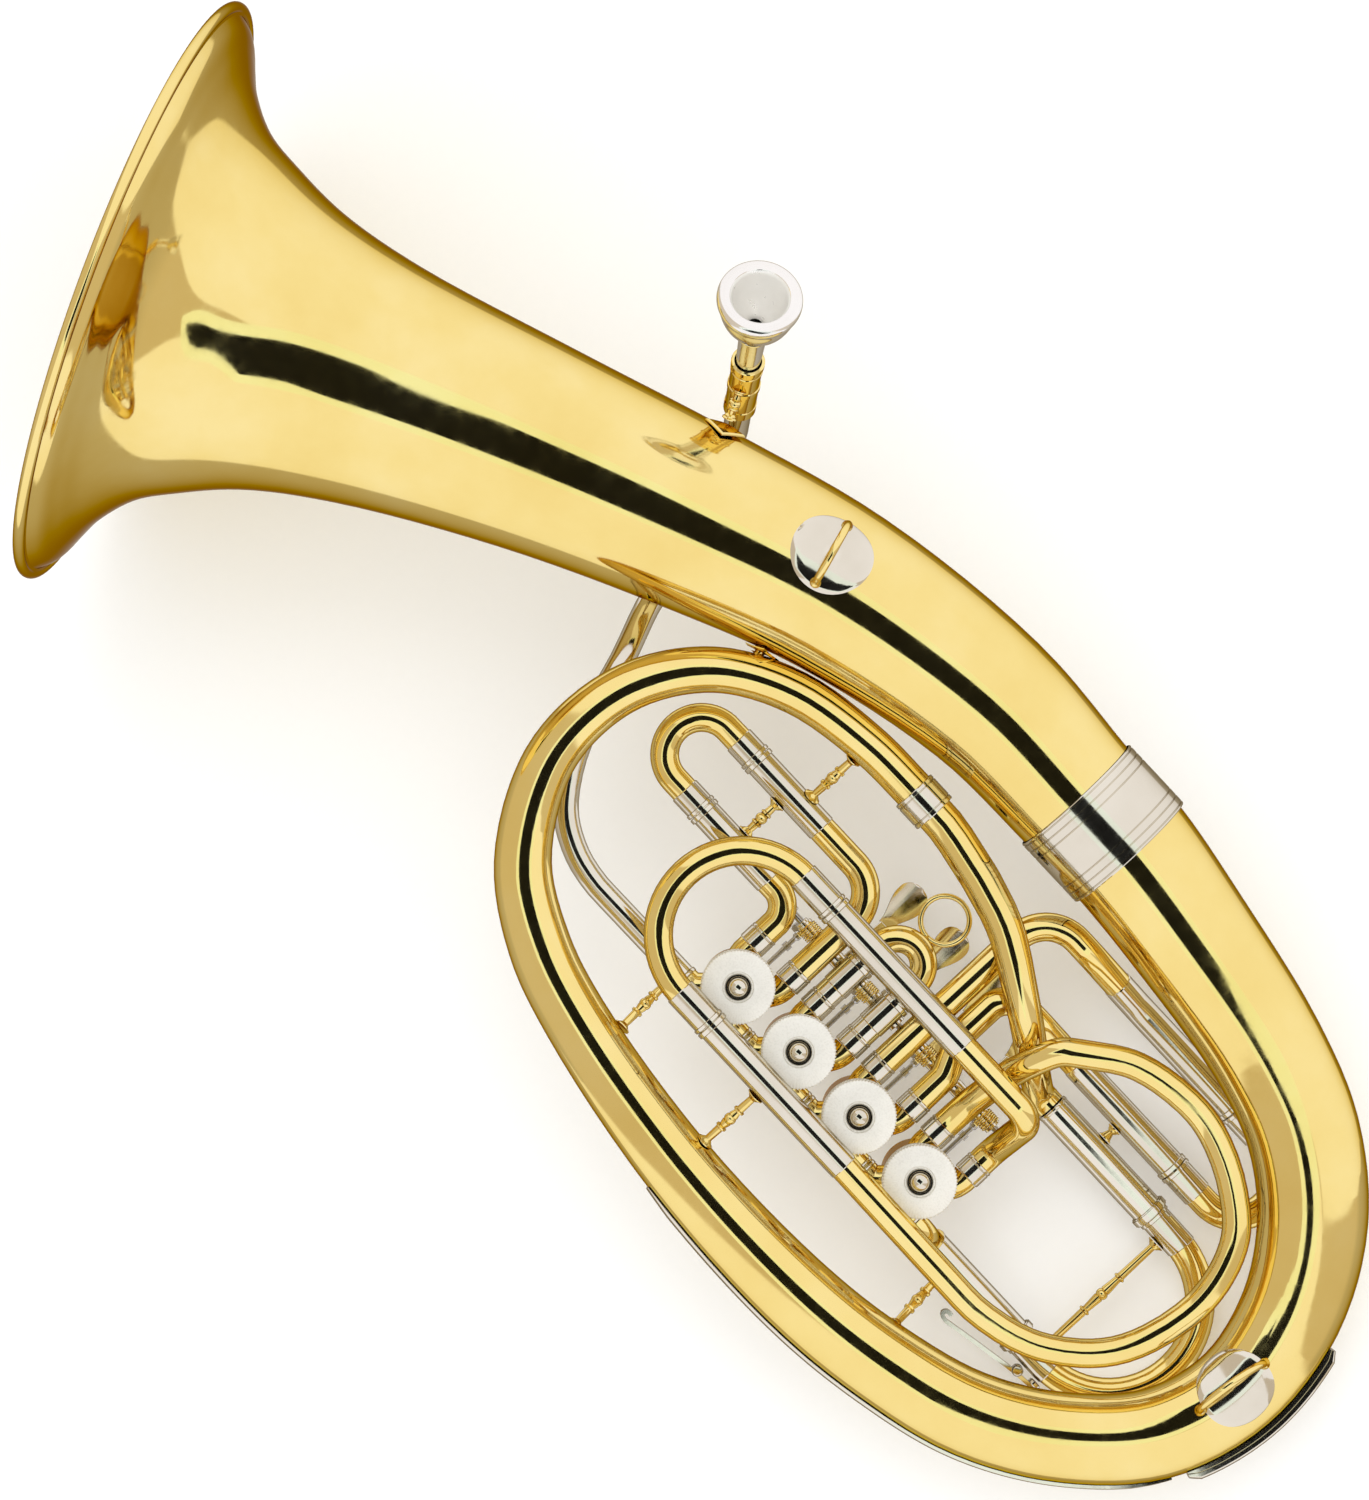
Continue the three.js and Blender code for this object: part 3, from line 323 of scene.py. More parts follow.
def tidy(rows):
    """The rows without repeats that follow each other."""
    kept = [rows[0]]
    for row in rows[1:]:
        if abs(row[0] - kept[-1][0]) + abs(row[1] - kept[-1][1]) > 1e-6:
            kept.append(row)
    return kept


def bead(run, distance, width, radius, bulge, sides=40):
    """A rounded ring round a tube, as on a ferrule or a collar."""
    rows = []
    for angle in arc(0, pi, 8):
        rows.append((distance - width / 2 * cos(angle), radius + bulge * sin(angle) ** 0.8))
    inside = radius - 0.3
    rows = [(rows[0][0], inside), *rows, (rows[-1][0], inside), (rows[0][0], inside)]
    return turned(run, tidy(rows), sides)


def grooved(run, length, radius, bore, grooves, sides=64, depth=0.35):
    """A plain sleeve with fine turned lines round it and eased ends."""
    rows = [(0, radius - 0.3), (0.4, radius)]
    for groove in grooves:
        rows += [(groove - 0.4, radius), (groove - 0.1, radius - depth), (groove + 0.1, radius - depth),
                 (groove + 0.4, radius)]
    rows += [(length - 0.4, radius), (length, radius - 0.3), (length, bore), (0, bore), (0, radius - 0.3)]
    return turned(run, rows, sides)


def saddle(run, centre, radius, lift, thickness, reach_at, steps=8, spokes=48):
    """A thin plate bent round a pipe; reach_at gives how far out its edge lies at each angle."""
    middle = run.nearest(centre)
    nearest, side, up, _ = run.at(middle)
    outward = (centre - nearest).normalized()
    first = atan2(outward.dot(up), outward.dot(side))
    vertices = []
    rings = []
    for level, height in ((0, lift), (1, lift + thickness)):
        for j in range(steps + 1):
            drop = thickness * 0.5 if level and j == steps else 0
            start = len(vertices)
            for k in range(spokes):
                turn = 2 * pi * k / spokes
                reach = reach_at(turn) * j / steps * (1.03 if j == steps and not level else 1)
                spot, s, u, _ = run.at(middle + reach * cos(turn))
                angle = first + reach * sin(turn) / radius
                vertices.append(spot + (s * cos(angle) + u * sin(angle)) * (radius + height - drop))
            rings.append(range(start, start + spokes))
    pairs = [(rings[j], rings[j + 1]) for j in range(steps)]
    pairs += [(rings[j + steps + 1], rings[j + steps + 2]) for j in range(steps)]
    pairs.append((rings[steps], rings[2 * steps + 1]))
    return vertices, [face for low, high in pairs for face in band(low, high)]


def swept(run, section, count=40):
    """Sweeps a closed section of (side, up) points along the run, with capped ends."""
    sections = []
    for i in range(count + 1):
        place, side, up, _ = run.at(run.length * i / count)
        sections.append([place + side * s + up * u for s, u in section])
    return lofted(sections)


def extruded(outline, depth, move):
    """A flat plate of (x, y) outline points and a depth, carried by move (a matrix)."""
    return lofted([[move @ Vector((x, y, z)) for x, y in outline] for z in (-depth / 2, depth / 2)])


def helix(start, stop, radius, turns, wire, sides=8):
    """A coil of wire about the straight line from start to stop."""
    axis = Vector(stop) - Vector(start)
    tangent = axis.normalized()
    side = tangent.orthogonal().normalized()
    up = tangent.cross(side)
    count = int(turns * 20)
    points = []
    for i in range(count + 1):
        angle = 2 * pi * turns * i / count
        points.append(Vector(start) + axis * i / count + (side * cos(angle) + up * sin(angle)) * radius)
    run = Run(points)
    return rod(run, [(0, wire), (run.length, wire)], sides)


def together(*shapes):
    """Several shapes as one."""
    vertices = []
    faces = []
    for points, polygons in shapes:
        base = len(vertices)
        vertices += points
        faces += [[corner + base for corner in polygon] for polygon in polygons]
    return vertices, faces


# ---------- materials ----------
def feed(tree, socket, value):
    """Links a socket to a node's output, or sets its own number or colour."""
    if isinstance(value, bpy.types.NodeSocket):
        tree.links.new(value, socket)
    elif isinstance(value, tuple):
        socket.default_value = (*value, 1)
    else:
        socket.default_value = value


def made(tree, kind, **inputs):
    """A new shader node with its inputs fed."""
    node = tree.nodes.new("ShaderNode" + kind)
    for name, value in inputs.items():
        feed(tree, node.inputs[name.replace("_", " ")], value)
    return node


def colours_mixed(tree, share, first, second, blend="MIX"):
    node = tree.nodes.new("ShaderNodeMix")
    node.data_type = "RGBA"
    node.blend_type = blend
    for socket, value in ((0, share), (6, first), (7, second)):
        feed(tree, node.inputs[socket], value)
    return node.outputs[2]


class Nodes:
    """Short ways to write a shader."""

    def __init__(self, name):
        self.material = bpy.data.materials.new(name)
        self.material.use_nodes = True
        self.tree = self.material.node_tree
        self.shader = self.tree.nodes["Principled BSDF"]
        place = self.tree.nodes.new("ShaderNodeTexCoord")
        self.place = place.outputs["Object"]

    def noise(self, scale, detail=4, roughness=0.55):
        node = made(self.tree, "TexNoise", Vector=self.place, Scale=scale, Detail=detail,
                    Roughness=roughness)
        return node.outputs["Fac"]

    def ramp(self, source, stops):
        node = made(self.tree, "ValToRGB", Fac=source)
        while len(node.color_ramp.elements) < len(stops):
            node.color_ramp.elements.new(0.5)
        for element, (position, colour) in zip(node.color_ramp.elements, stops):
            element.position = position
            element.color = (*colour, 1)
        return node.outputs["Color"]

    def spread(self, source, low, high, from_low=0.0, from_high=1.0):
        node = made(self.tree, "MapRange", Value=source, From_Min=from_low, From_Max=from_high, To_Min=low,
                    To_Max=high)
        return node.outputs["Result"]

    def mix(self, share, first, second, blend="MIX"):
        return colours_mixed(self.tree, share, first, second, blend)

    def edges(self):
        geometry = self.tree.nodes.new("ShaderNodeNewGeometry")
        return self.spread(geometry.outputs["Pointiness"], 0, 1, 0.5, 0.62)

    def bump(self, source, strength, distance):
        node = made(self.tree, "Bump", Height=source, Strength=strength, Distance=distance)
        self.tree.links.new(node.outputs["Normal"], self.shader.inputs["Normal"])

    def set(self, **values):
        for name, value in values.items():
            feed(self.tree, self.shader.inputs[name.replace("_", " ")], value)
        return self.material


def polished_metal(name, dark, middle, light, edge, roughness, scratch=0.04, metallic=1.0):
    """A polished metal with slow changes of tint, fine wipe marks and brighter, worn edges."""
    nodes = Nodes(name)
    cloud = nodes.noise(18, 4)
    tint = nodes.ramp(cloud, [(0.3, dark), (0.5, middle), (0.7, light)])
    worn = nodes.mix(nodes.edges(), tint, light)
    wipes = nodes.noise(160, 4, 0.65)
    fine = nodes.noise(1300, 2, 0.5)
    nodes.bump(fine, scratch, 0.00002)
    gloss = nodes.spread(wipes, roughness * 0.6, roughness * 1.5, 0.35, 0.7)
    # edge darkens the reflection at grazing angles: partly the metal's own edge colour, partly painted
    # shade standing in for dark surroundings reflected at the edges
    return nodes.set(Base_Color=worn, Metallic=metallic, Roughness=gloss, Specular_Tint=edge)


def satin_nickel(name):
    """Fine-turned nickel: a dull face with a fine speckle."""
    nodes = Nodes(name)
    speckle = nodes.noise(1100, 3, 0.6)
    cloud = nodes.noise(60, 4)
    tint = nodes.ramp(cloud, [(0.3, (0.80, 0.775, 0.70)), (0.5, (0.86, 0.835, 0.765)),
                              (0.7, (0.91, 0.89, 0.82))])
    grain = nodes.ramp(speckle, [(0.32, (0.80, 0.79, 0.76)), (0.55, (1.0, 1.0, 1.0)),
                                 (0.75, (1.0, 1.0, 1.0))])
    dusted = nodes.mix(0.7, tint, grain, "MULTIPLY")
    worn = nodes.mix(nodes.edges(), dusted, (0.93, 0.91, 0.86))
    nodes.bump(speckle, 0.25, 0.00004)
    gloss = nodes.spread(speckle, 0.42, 0.58, 0.3, 0.7)
    return nodes.set(Base_Color=worn, Metallic=0.45, Roughness=gloss, Specular_Tint=(0.6, 0.58, 0.52))


def cork(name):
    """Brown cork with dark grains."""
    nodes = Nodes(name)
    grain = nodes.noise(1400, 6, 0.7)
    tint = nodes.ramp(grain, [(0.3, (0.10, 0.05, 0.02)), (0.55, (0.30, 0.18, 0.09)),
                              (0.8, (0.45, 0.30, 0.17))])
    nodes.bump(grain, 0.5, 0.0002)
    return nodes.set(Base_Color=tint, Metallic=0.0, Roughness=0.85)


# name, darker, middle and lighter tint, edge tint, roughness
# the edge tints are darker than these metals' own: partly painted shade, so the edges look as if they
# reflected a dark room
BRASS = polished_metal("lacquered_brass", (0.90, 0.70, 0.24), (0.93, 0.745, 0.28), (0.955, 0.79, 0.34),
                       (0.42, 0.24, 0.03), 0.07)
BARE_BRASS = polished_metal("bare_brass", (0.80, 0.60, 0.22), (0.85, 0.66, 0.26), (0.90, 0.72, 0.32),
                            (0.42, 0.24, 0.03), 0.22, metallic=0.8)
NICKEL = polished_metal("nickel_silver", (0.70, 0.65, 0.54), (0.76, 0.715, 0.61), (0.82, 0.78, 0.68),
                        (0.42, 0.37, 0.28), 0.09)
SATIN = satin_nickel("satin_nickel")
SILVER = polished_metal("silver_plate", (0.88, 0.865, 0.83), (0.92, 0.905, 0.87), (0.96, 0.95, 0.925),
                        (0.6, 0.57, 0.5), 0.16)
CUP_SILVER = polished_metal("satin_silver", (0.86, 0.84, 0.80), (0.90, 0.885, 0.85), (0.94, 0.93, 0.90),
                            (0.8, 0.78, 0.73), 0.42, metallic=0.5)
STEEL = polished_metal("plain_steel", (0.36, 0.35, 0.33), (0.47, 0.46, 0.44), (0.60, 0.59, 0.57),
                       (0.3, 0.3, 0.3), 0.22, scratch=0.1)
CORK = cork("cork")


# ---------- pieces ----------
def placed(name, data):
    """A new object in the scene."""
    thing = bpy.data.objects.new(name, data)
    bpy.context.scene.collection.objects.link(thing)
    return thing


def piece(name, shape, material, body="root", stands_for=(), bevel=0.0, crease=30):
    """Makes one piece of the instrument from a shape in design millimetres."""
    vertices, faces = shape
    mesh = bpy.data.meshes.new(name)
    mesh.from_pydata([DESIGN @ v for v in vertices], [], faces)
    shell = bmesh.new()
    shell.from_mesh(mesh)
    bmesh.ops.recalc_face_normals(shell, faces=shell.faces)
    shell.to_mesh(mesh)
    shell.free()
    mesh.polygons.foreach_set("use_smooth", [True] * len(mesh.polygons))
    mesh.set_sharp_from_angle(angle=radians(crease))
    mesh.materials.append(material)
    thing = placed(name, mesh)
    if bevel:
        rounding = thing.modifiers.new("rounding", "BEVEL")
        rounding.width = bevel * MM
        rounding.segments = 2
        rounding.limit_method = "ANGLE"
        rounding.angle_limit = radians(38)
        rounding.harden_normals = False
    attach(thing, body)
    if stands_for:
        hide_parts(*([stands_for] if isinstance(stands_for, str) else stands_for))
    return thing


def valve_x(index):
    return VALVE_PITCH * index


# ---------- bell ----------
BELL_FLARE = (
    (4.9, 134.2), (9, 129.5), (13.5, 119.5), (20, 106.5), (34, 90), (52, 79.4), (79, 67.3), (120, 57.5),
    (200, 48.3), (283, 42.9), (353, 39.2), (436, 34.8), (495, 32), (513, BOW_JOINT_RADIUS),
)


def bell_run():
    x, y, _ = BELL_MOUTH
    ax, ay, _ = BELL_AXIS
    return smooth_run([
        (x, y, 0), (x + 100 * ax, y + 100 * ay, 0), (x + 198 * ax, y + 198 * ay - 1, 0),
        (-168, 131.3, 0), (-100, 156, 0), (-18, 171.6, 0), (40, BELL_TUBE_Y, 0),
        (BOW_JOINT - 1, BELL_TUBE_Y, 0),
    ], 24)


def bell():
    run = bell_run()
    end = run.length
    flare = [(p.x, p.y) for p in smooth_points([(d, r, 0) for d, r in BELL_FLARE], 6)]
    outer = [row for row in flare if row[0] < end - 2] + [(end, BOW_JOINT_RADIUS)]
    inner = [(end, 31)]
    for distance, radius in reversed(outer[:-1]):
        near_mouth = min(max((40 - distance) / 30, 0), 1)
        inner.append((distance - 1.1 * near_mouth, radius - 0.8 * (1 - near_mouth * 0.6)))
    outline = [*outer, *inner, *rolled_edge()]
    sides = 128
    shell = piece("bell_shell", turned(run, tidy([*outline, outline[0]]), sides), BRASS, stands_for="bell")
    bare_inside(shell, run, sides)


def bare_inside(shell, run, sides):
    """Past the rolled edge, the faces that look at the axis are bare brass, duller than the lacquer."""
    shell.data.materials.append(BARE_BRASS)
    to_design = DESIGN.inverted()
    faces = shell.data.polygons
    for first in range(0, len(faces), sides):
        centre = to_design @ faces[first].center
        normal = to_design.to_3x3() @ faces[first].normal
        distance = run.nearest(centre)
        if distance > 6 and normal.dot(centre - run.at(distance)[0]) < 0:
            for k in range(first, first + sides):
                faces[k].material_index = 1


def rolled_edge():
    """The bead rolled round the wire at the mouth, from the inside of the flare round to its outside."""
    wire = 2.6
    turn = arc(radians(-112), radians(-398), 20)
    return [(wire + wire * cos(angle), 137.3 + wire * sin(angle)) for angle in turn]


def bell_ferrule():
    run = line((41, BELL_TUBE_Y, 0), (77, BELL_TUBE_Y, 0))
    sleeve = grooved(run, 36, 33.5, 32.9, (1.4, 5, 9, 27, 31, 34.6), 96)
    piece("bell_ferrule_sleeve", sleeve, NICKEL, stands_for="bell_ferrule")


# ---------- main bow ----------
BOW_ROUTE = (
    (BRANCH_JOINT - 0.8, 118.6, 9.6), (-14, 118.7, 9.6), (-40, 117.8, 9.8), (-80, 109.9, 10.2),
    (-112, 91, 10.6), (-132, 62, 11.1), (-138, 32, 11.6), (-133, 2, 12.2), (-109, -34, 13.3),
    (-76, -54.5, 14.6), (-40, -65.5, 15.2), (40, -77, 16.9), (120, -77.5, 18.6), (170, -70.5, 19.3),
    (215, -57, 20), (252, -33, 20.6), (280, 0, 21), (290, 40, 21.6), (281, 82, 23.5), (258, 117, 25.2),
    (225, 142, 26), (185, 156, 27), (120, 166.5, 29.5), (78, 171.2, 31.4),
    (BOW_JOINT + 1, BELL_TUBE_Y, BOW_JOINT_RADIUS),
)


def bow_run():
    return smooth_run([(x, y, 0) for x, y, _ in BOW_ROUTE], 20)


def bow_radii(run):
    rows = [(run.nearest(Vector((x, y, 0))), radius, 0) for x, y, radius in BOW_ROUTE]
    return [(p.x, p.y) for p in smooth_points(rows, 6)]


def radius_at(rows, distance):
    for (d0, r0), (d1, r1) in zip(rows, rows[1:]):
        if distance <= d1:
            return r0 + (r1 - r0) * (distance - d0) / max(d1 - d0, 1e-6)
    return rows[-1][1]


def main_bow():
    run = bow_run()
    outer = bow_radii(run)
    inner = [(d, r - WALL) for d, r in reversed(outer)]
    piece("main_bow_tube", turned(run, tidy([*outer, *inner, outer[0]]), 72), BRASS, stands_for="main_bow")


def small_branch():
    run = smooth_run([
        (BRANCH_JOINT + 0.8, BRANCH_Y, 0), (6, BRANCH_Y, 0), (14, 118, 0), (40, 113.3, 0), (64, 106.2, 0),
        (90, 91.5, -1), (108.6, 80.2, -6), (120, 73, -15), (133, 66.5, -28.5),
        (137, TUNING_UPPER_Y, TUNING_Z),
        (141, TUNING_UPPER_Y, TUNING_Z),
    ])
    end = run.length
    outer = [(0, 9.1), (45, 9.1), (end - 30, 7.5), (end, 7.2)]
    inner = [(d, r - WALL) for d, r in reversed(outer)]
    piece("small_branch_tube", turned(run, [*outer, *inner, outer[0]], 48), BRASS,
          stands_for="small_branch")


def bow_ferrule():
    run = line((-11, BRANCH_Y, 0), (3.4, BRANCH_Y, 0))
    sleeve = grooved(run, 14.4, 10.9, 10.2, (2.2, 12.2))
    piece("bow_ferrule_sleeve", sleeve, NICKEL, stands_for="bow_ferrule")


# ---------- guards ----------
def guard(name, start, stop, width, thickness, lines, node, count=90):
    """A plate bent round the outside of the bow, with fine lines along its edges."""
    run = bow_run()
    radii = bow_radii(run)
    first = run.nearest(Vector((*start, 0)))
    last = run.nearest(Vector((*stop, 0)))
    sections = []
    for i in range(count + 1):
        distance = first + (last - first) * i / count
        place, side, up, _ = run.at(distance)
        radius = radius_at(radii, distance)
        half = width / 2 / radius
        thick = thickness * min(1, 0.55 + 0.09 * min(i, count - i))
        section = [(0.15, half)]
        for mark in lines:
            section += [(thick * mark - 0.25, half), (thick * mark, half - 0.5 / radius),
                        (thick * mark + 0.25, half)]
        section += [(thick * 0.9, half), (thick, half - 0.4 / radius)]
        section += [(thick, half * (0.9 - 0.15 * j)) for j in range(6)] + [(thick, 0)]
        section += [(height, -angle) for height, angle in reversed(section[:-1])]
        sections.append([place + (up * sin(angle) - side * cos(angle)) * (radius + height)
                         for height, angle in section])
    piece(name, lofted(sections), NICKEL, stands_for=node)


# ---------- strap eyes ----------
def strap_eye(name, run, centre, radius, lift, ring_radius, direction, node):
    nearest = run.at(run.nearest(centre))[0]
    outward = (centre - nearest).normalized()
    patch = saddle(run, centre, radius, lift, 0.8, lambda turn: 18)
    piece(name + "_patch", patch, NICKEL, stands_for=node)
    across = (direction - outward * direction.dot(outward)).normalized()
    feet = []
    for offset in (-ring_radius, ring_radius):
        foot = nearest + outward * radius + across * offset
        axis = run.at(run.nearest(foot))[0]
        feet.append(axis + (foot - axis).normalized() * (radius + lift + 0.9))
    half = (feet[1] - feet[0]) / 2
    middle = (feet[0] + feet[1]) / 2
    wire = Run([middle - half * cos(angle) + outward * ring_radius * sin(angle)
                for angle in arc(0, pi, 32)])
    shape = rod(wire, [(0, 2.6), (0.8, 2.5), (2, 1.75), (wire.length - 2, 1.75), (wire.length - 0.8, 2.5),
                       (wire.length, 2.6)], 24)
    piece(name + "_ring", shape, BRASS)


# ---------- mouthpiece, receiver, leadpipe ----------
def on_mouthpiece_axis(distance):
    return MOUTHPIECE_RIM + MOUTHPIECE_AXIS * distance


def mouthpiece():
    run = line(on_mouthpiece_axis(0), on_mouthpiece_axis(MOUTHPIECE_LENGTH))
    outer = smooth_points([(0.05, 15.4, 0), (0.35, 17.4, 0), (1.5, 18.7, 0), (3.6, 19, 0), (5.6, 18.5, 0),
                           (7.2, 17.6, 0), (12, 16.9, 0), (18, 15, 0), (23, 12, 0), (27, 8.2, 0),
                           (29, 6.9, 0)], 5)
    stem = [(29.4, 7), (29.8, 7.6), (31, 7.6), (31.4, 6.9), (31.8, 6.9), (32.2, 7.4), (33.2, 7.4),
            (33.6, 6.6), (36, 6.3), (48, 5.9), (80, 5)]
    bore = [(80, 4.2), (50, 3.5), (30, 3.1), (26, 3.4)]
    cup = smooth_points([(24, 4.4, 0), (18, 8.4, 0), (10, 11.2, 0), (4, 12.2, 0), (1.5, 12.6, 0),
                         (0.35, 13.5, 0)], 5)
    outline = [(p.x, p.y) for p in outer] + stem + bore + [(p.x, p.y) for p in cup]
    shape = turned(run, tidy([*outline, outline[0]]), 96)
    thing = piece("mouthpiece_turned", shape, SILVER, "mouthpiece", stands_for="mouthpiece")
    thing.data.materials.append(CUP_SILVER)
    rim = DESIGN @ MOUTHPIECE_RIM
    axis = (DESIGN.to_3x3() @ MOUTHPIECE_AXIS).normalized()
    for polygon in thing.data.polygons:
        arm = polygon.center - rim
        depth = arm.dot(axis)
        radius = (arm - axis * depth).length
        if radius < 0.0133 and depth < 0.026 and polygon.normal.dot(arm - axis * depth) < 0:
            polygon.material_index = 1


def receiver():
    start = MOUTHPIECE_LENGTH - SHANK_DEPTH
    run = line(on_mouthpiece_axis(start), on_mouthpiece_axis(start + RECEIVER_LENGTH))
    outer = [(0, 7.3), (0.4, 7.7), (3.2, 7.7), (3.6, 7.2), (6, 7.2), (6.3, 7.5), (7.3, 7.5), (7.6, 7.2),
             (14, 7.1), (19.6, 7.1), (20, 7.6), (23, 7.6), (23.4, 7.2), (37.6, 7.1), (38, 7.5), (43.6, 7.5),
             (44, 7.2)]
    outline = [*outer, (44, 6.3), (0, 6.3), outer[0]]
    piece("receiver_turned", turned(run, outline, 64), BRASS, stands_for="mouthpiece_receiver")


def leadpipe_run():
    start = MOUTHPIECE_LENGTH - SHANK_DEPTH + RECEIVER_LENGTH
    return smooth_run([
        on_mouthpiece_axis(start + 0.3), on_mouthpiece_axis(start + 24), (-182, 160, -49), (-170, 135, -54),
        (-162, 108, -47), (-156.5, 88, -36), (-146, 62, -27), (-137, 34, -23), (-125.5, 11, -20),
        (-112, -5, -19.4), (-96, -13.8, VALVE_Z), (-80, CHAIN_Y, VALVE_Z), (-60, CHAIN_Y, VALVE_Z),
        (-CHAIN_END - 0.3, CHAIN_Y, VALVE_Z),
    ])


def leadpipe():
    run = leadpipe_run()
    end = run.length
    shape = pipe(run, [(0, end - 12, LEADPIPE, 5.3), (end - 12, end, LEADPIPE + 0.25, 5.3)], 48)
    piece("leadpipe_tube", shape, NICKEL, stands_for="leadpipe")


# ---------- braces ----------
def brace(name, start, start_radius, stop, stop_radius, thickness=2.2, foot=4.2, body="root", node=None):
    """A turned rod with a ball in its middle and a shaped foot at each end."""
    start = Vector(start)
    stop = Vector(stop)
    direction = (stop - start).normalized()
    run = line(start + direction * (start_radius + 0.15), stop - direction * (stop_radius + 0.15))
    length = run.length
    middle = length / 2
    swell = min(length * 0.2, 12)
    rows = [(0, foot), (0.5, foot), (1, foot * 0.78), (1.7, thickness * 1.2), (2.5, thickness * 0.8)]
    if middle - swell > 3.4:
        rows += [(middle - swell, thickness * 0.9), (middle - swell + 0.5, thickness * 1.25),
                 (middle - swell + 1.3, thickness * 1.25), (middle - swell + 1.8, thickness * 0.8)]
    if middle > 4.4:
        rows += [(middle - 2.2, thickness * 1.1), (middle - 1.9, thickness * 0.95)]
        for i in range(1, 8):
            angle = pi * i / 8
            rows.append((middle - 1.6 * cos(angle), thickness * 0.95 + 0.8 * sin(angle)))
    rows += [(length - d, r) for d, r in reversed(rows) if d < middle - 1.7]
    piece(name, rod(run, rows, 32), BRASS, body, stands_for=node or ())


def braces():
    y3, z3 = SLIDE_3_LOWER
    z1 = VALVE_Z
    table = (
        ("receiver_brace", (-173, 134.5, 0), 44.8, (-201.7, 191.6, 24.9), 9.2, 2.2, 3.4),
        ("leadpipe_brace", (-160, 134.6, 0), 44.2, (-157.3, 92, -38.3), 6.3, 2.2, 4.2),
        ("bell_bracket", (-108, 153, 0), 41.2, (-104.5, 97.5, 0), 10.6, 2.2, 3.4),
        ("brace_bow_slide_1", (-40, 117.8, 0), 10, (-40, SLIDE_1_UPPER_Y, z1), 7.1, 2.2, 4.2),
        ("brace_slide_1", (-48.5, SLIDE_1_UPPER_Y, z1), 7.1, (-48.5, SLIDE_1_LOWER_Y, z1), 7.1, 2.2, 4.2),
        ("brace_bow_leadpipe", (-22.5, -68, 0), 15.7, (-23, CHAIN_Y, z1), 6.2, 2.2, 4.2),
        ("brace_bow_slide_4", (41, -77.1, 0), 17, (41, SLIDE_4_LOWER_Y, SLIDE_4_Z), 7.2, 2.2, 4.2),
        ("brace_bow_tuning", (163, -71.8, 0), 19.4, (163, TUNING_LOWER_Y, TUNING_Z), 7.9, 2.2, 4.2),
        ("brace_slide_3_tuning", (169, y3, z3), 7.2, (169, TUNING_UPPER_Y, TUNING_Z), 7.9, 2, 3.4),
    )
    for name, start, r0, stop, r1, thickness, foot in table:
        brace(name + "_turned", start, r0, stop, r1, thickness, foot, node=name)
    for name, start, stop, radius in (
        ("receiver_brace_flange", Vector((-173, 134.5, 0)), Vector((-201.7, 191.6, 24.9)), 44.3),
        ("bell_bracket_flange", Vector((-108, 153, 0)), Vector((-104.5, 97.5, 0)), 41),
    ):
        centre = start + (stop - start).normalized() * radius
        lozenge = saddle(bell_run(), centre, radius, 0.1, 1,
                         lambda turn: 9.5 / (abs(cos(turn)) + abs(sin(turn))))
        piece(name, lozenge, BRASS)
    brace("brace_tuning_slide_turned", (221, TUNING_UPPER_Y, TUNING_Z), 7.7,
          (221, TUNING_LOWER_Y, TUNING_Z), 7.7, body="tuning_slide", node="brace_tuning_slide")


# ---------- valves ----------
def knuckles(index):
    x = valve_x(index)
    top = PORT_TOP - 0.3
    right_end = OUTLET_END if index == VALVE_COUNT - 1 else CHAIN_END
    z = VALVE_Z
    return [
        smooth_run([(x + PORT_A, top, z), (x + PORT_A, top - 4, z), (x - 6, 2, z)]),
        smooth_run([(x + PORT_B, top, z), (x + PORT_B, top - 2, z), (x + PORT_B - 0.9, top - 6, z),
                    (x + 10.5, 3.5, z), (x + 4, 1, z)]),
        smooth_run([(x - CHAIN_END, CHAIN_Y, z), (x - 17, CHAIN_Y, z), (x - 13.5, CHAIN_Y + 0.6, z),
                    (x - 6, -9, z)]),
        smooth_run([(x + right_end, CHAIN_Y, z), (x + right_end - 1.6, CHAIN_Y, z),
                    (x + 11, CHAIN_Y + 0.8, z),
                    (x + 5, -9, z)]),
    ]


def casing(index):
    x = valve_x(index)
    back = VALVE_Z - CASING_HALF
    axis = line((x, VALVE_Y, back), (x, VALVE_Y, VALVE_Z + CASING_HALF - 0.3))
    depth = axis.length
    can = turned(axis, tidy([(0, 3.2), (0, 15.4), (0.6, 16), (3, 16), (3.3, 15.6), (3.9, 15.6), (4.2, 16),
                             (depth, 16), (depth, 14), (3, 14), (3, 3.2), (0, 3.2)]), 72)
    necks = [pipe(run, [(0, run.length - 2, 6.5, 5.7)], 32) for run in knuckles(index)]
    piece(f"casing_{index + 1}_body", together(can, *necks), BRASS, stands_for=f"casing_{index + 1}")
    rings = [bead(run, 1.1, 2, 6.5, 0.35, 40) for run in knuckles(index)[2:]]
    piece(f"casing_{index + 1}_rings", together(*rings), NICKEL)
    plate_ring = line((x, VALVE_Y, back - 0.9), (x, VALVE_Y, back))
    plate = turned(plate_ring, tidy([(0, 3.4), (0, 11.5), (0.9, 12), (0.9, 3.4), (0, 3.4)]), 64)
    piece(f"casing_{index + 1}_bearing", plate, NICKEL)
    corks = []
    for turn in (-1, 1):
        base = Vector((x + 8.2 * cos(turn * 1.15), VALVE_Y + 8.2 * sin(turn * 1.15), back - 0.9))
        corks.append(rod(line(base, base + Vector((0, 0, -4.2))), [(0, 1.9), (3.8, 1.9), (4.2, 1.5)], 20))
    piece(f"casing_{index + 1}_stop_corks", together(*corks), CORK)


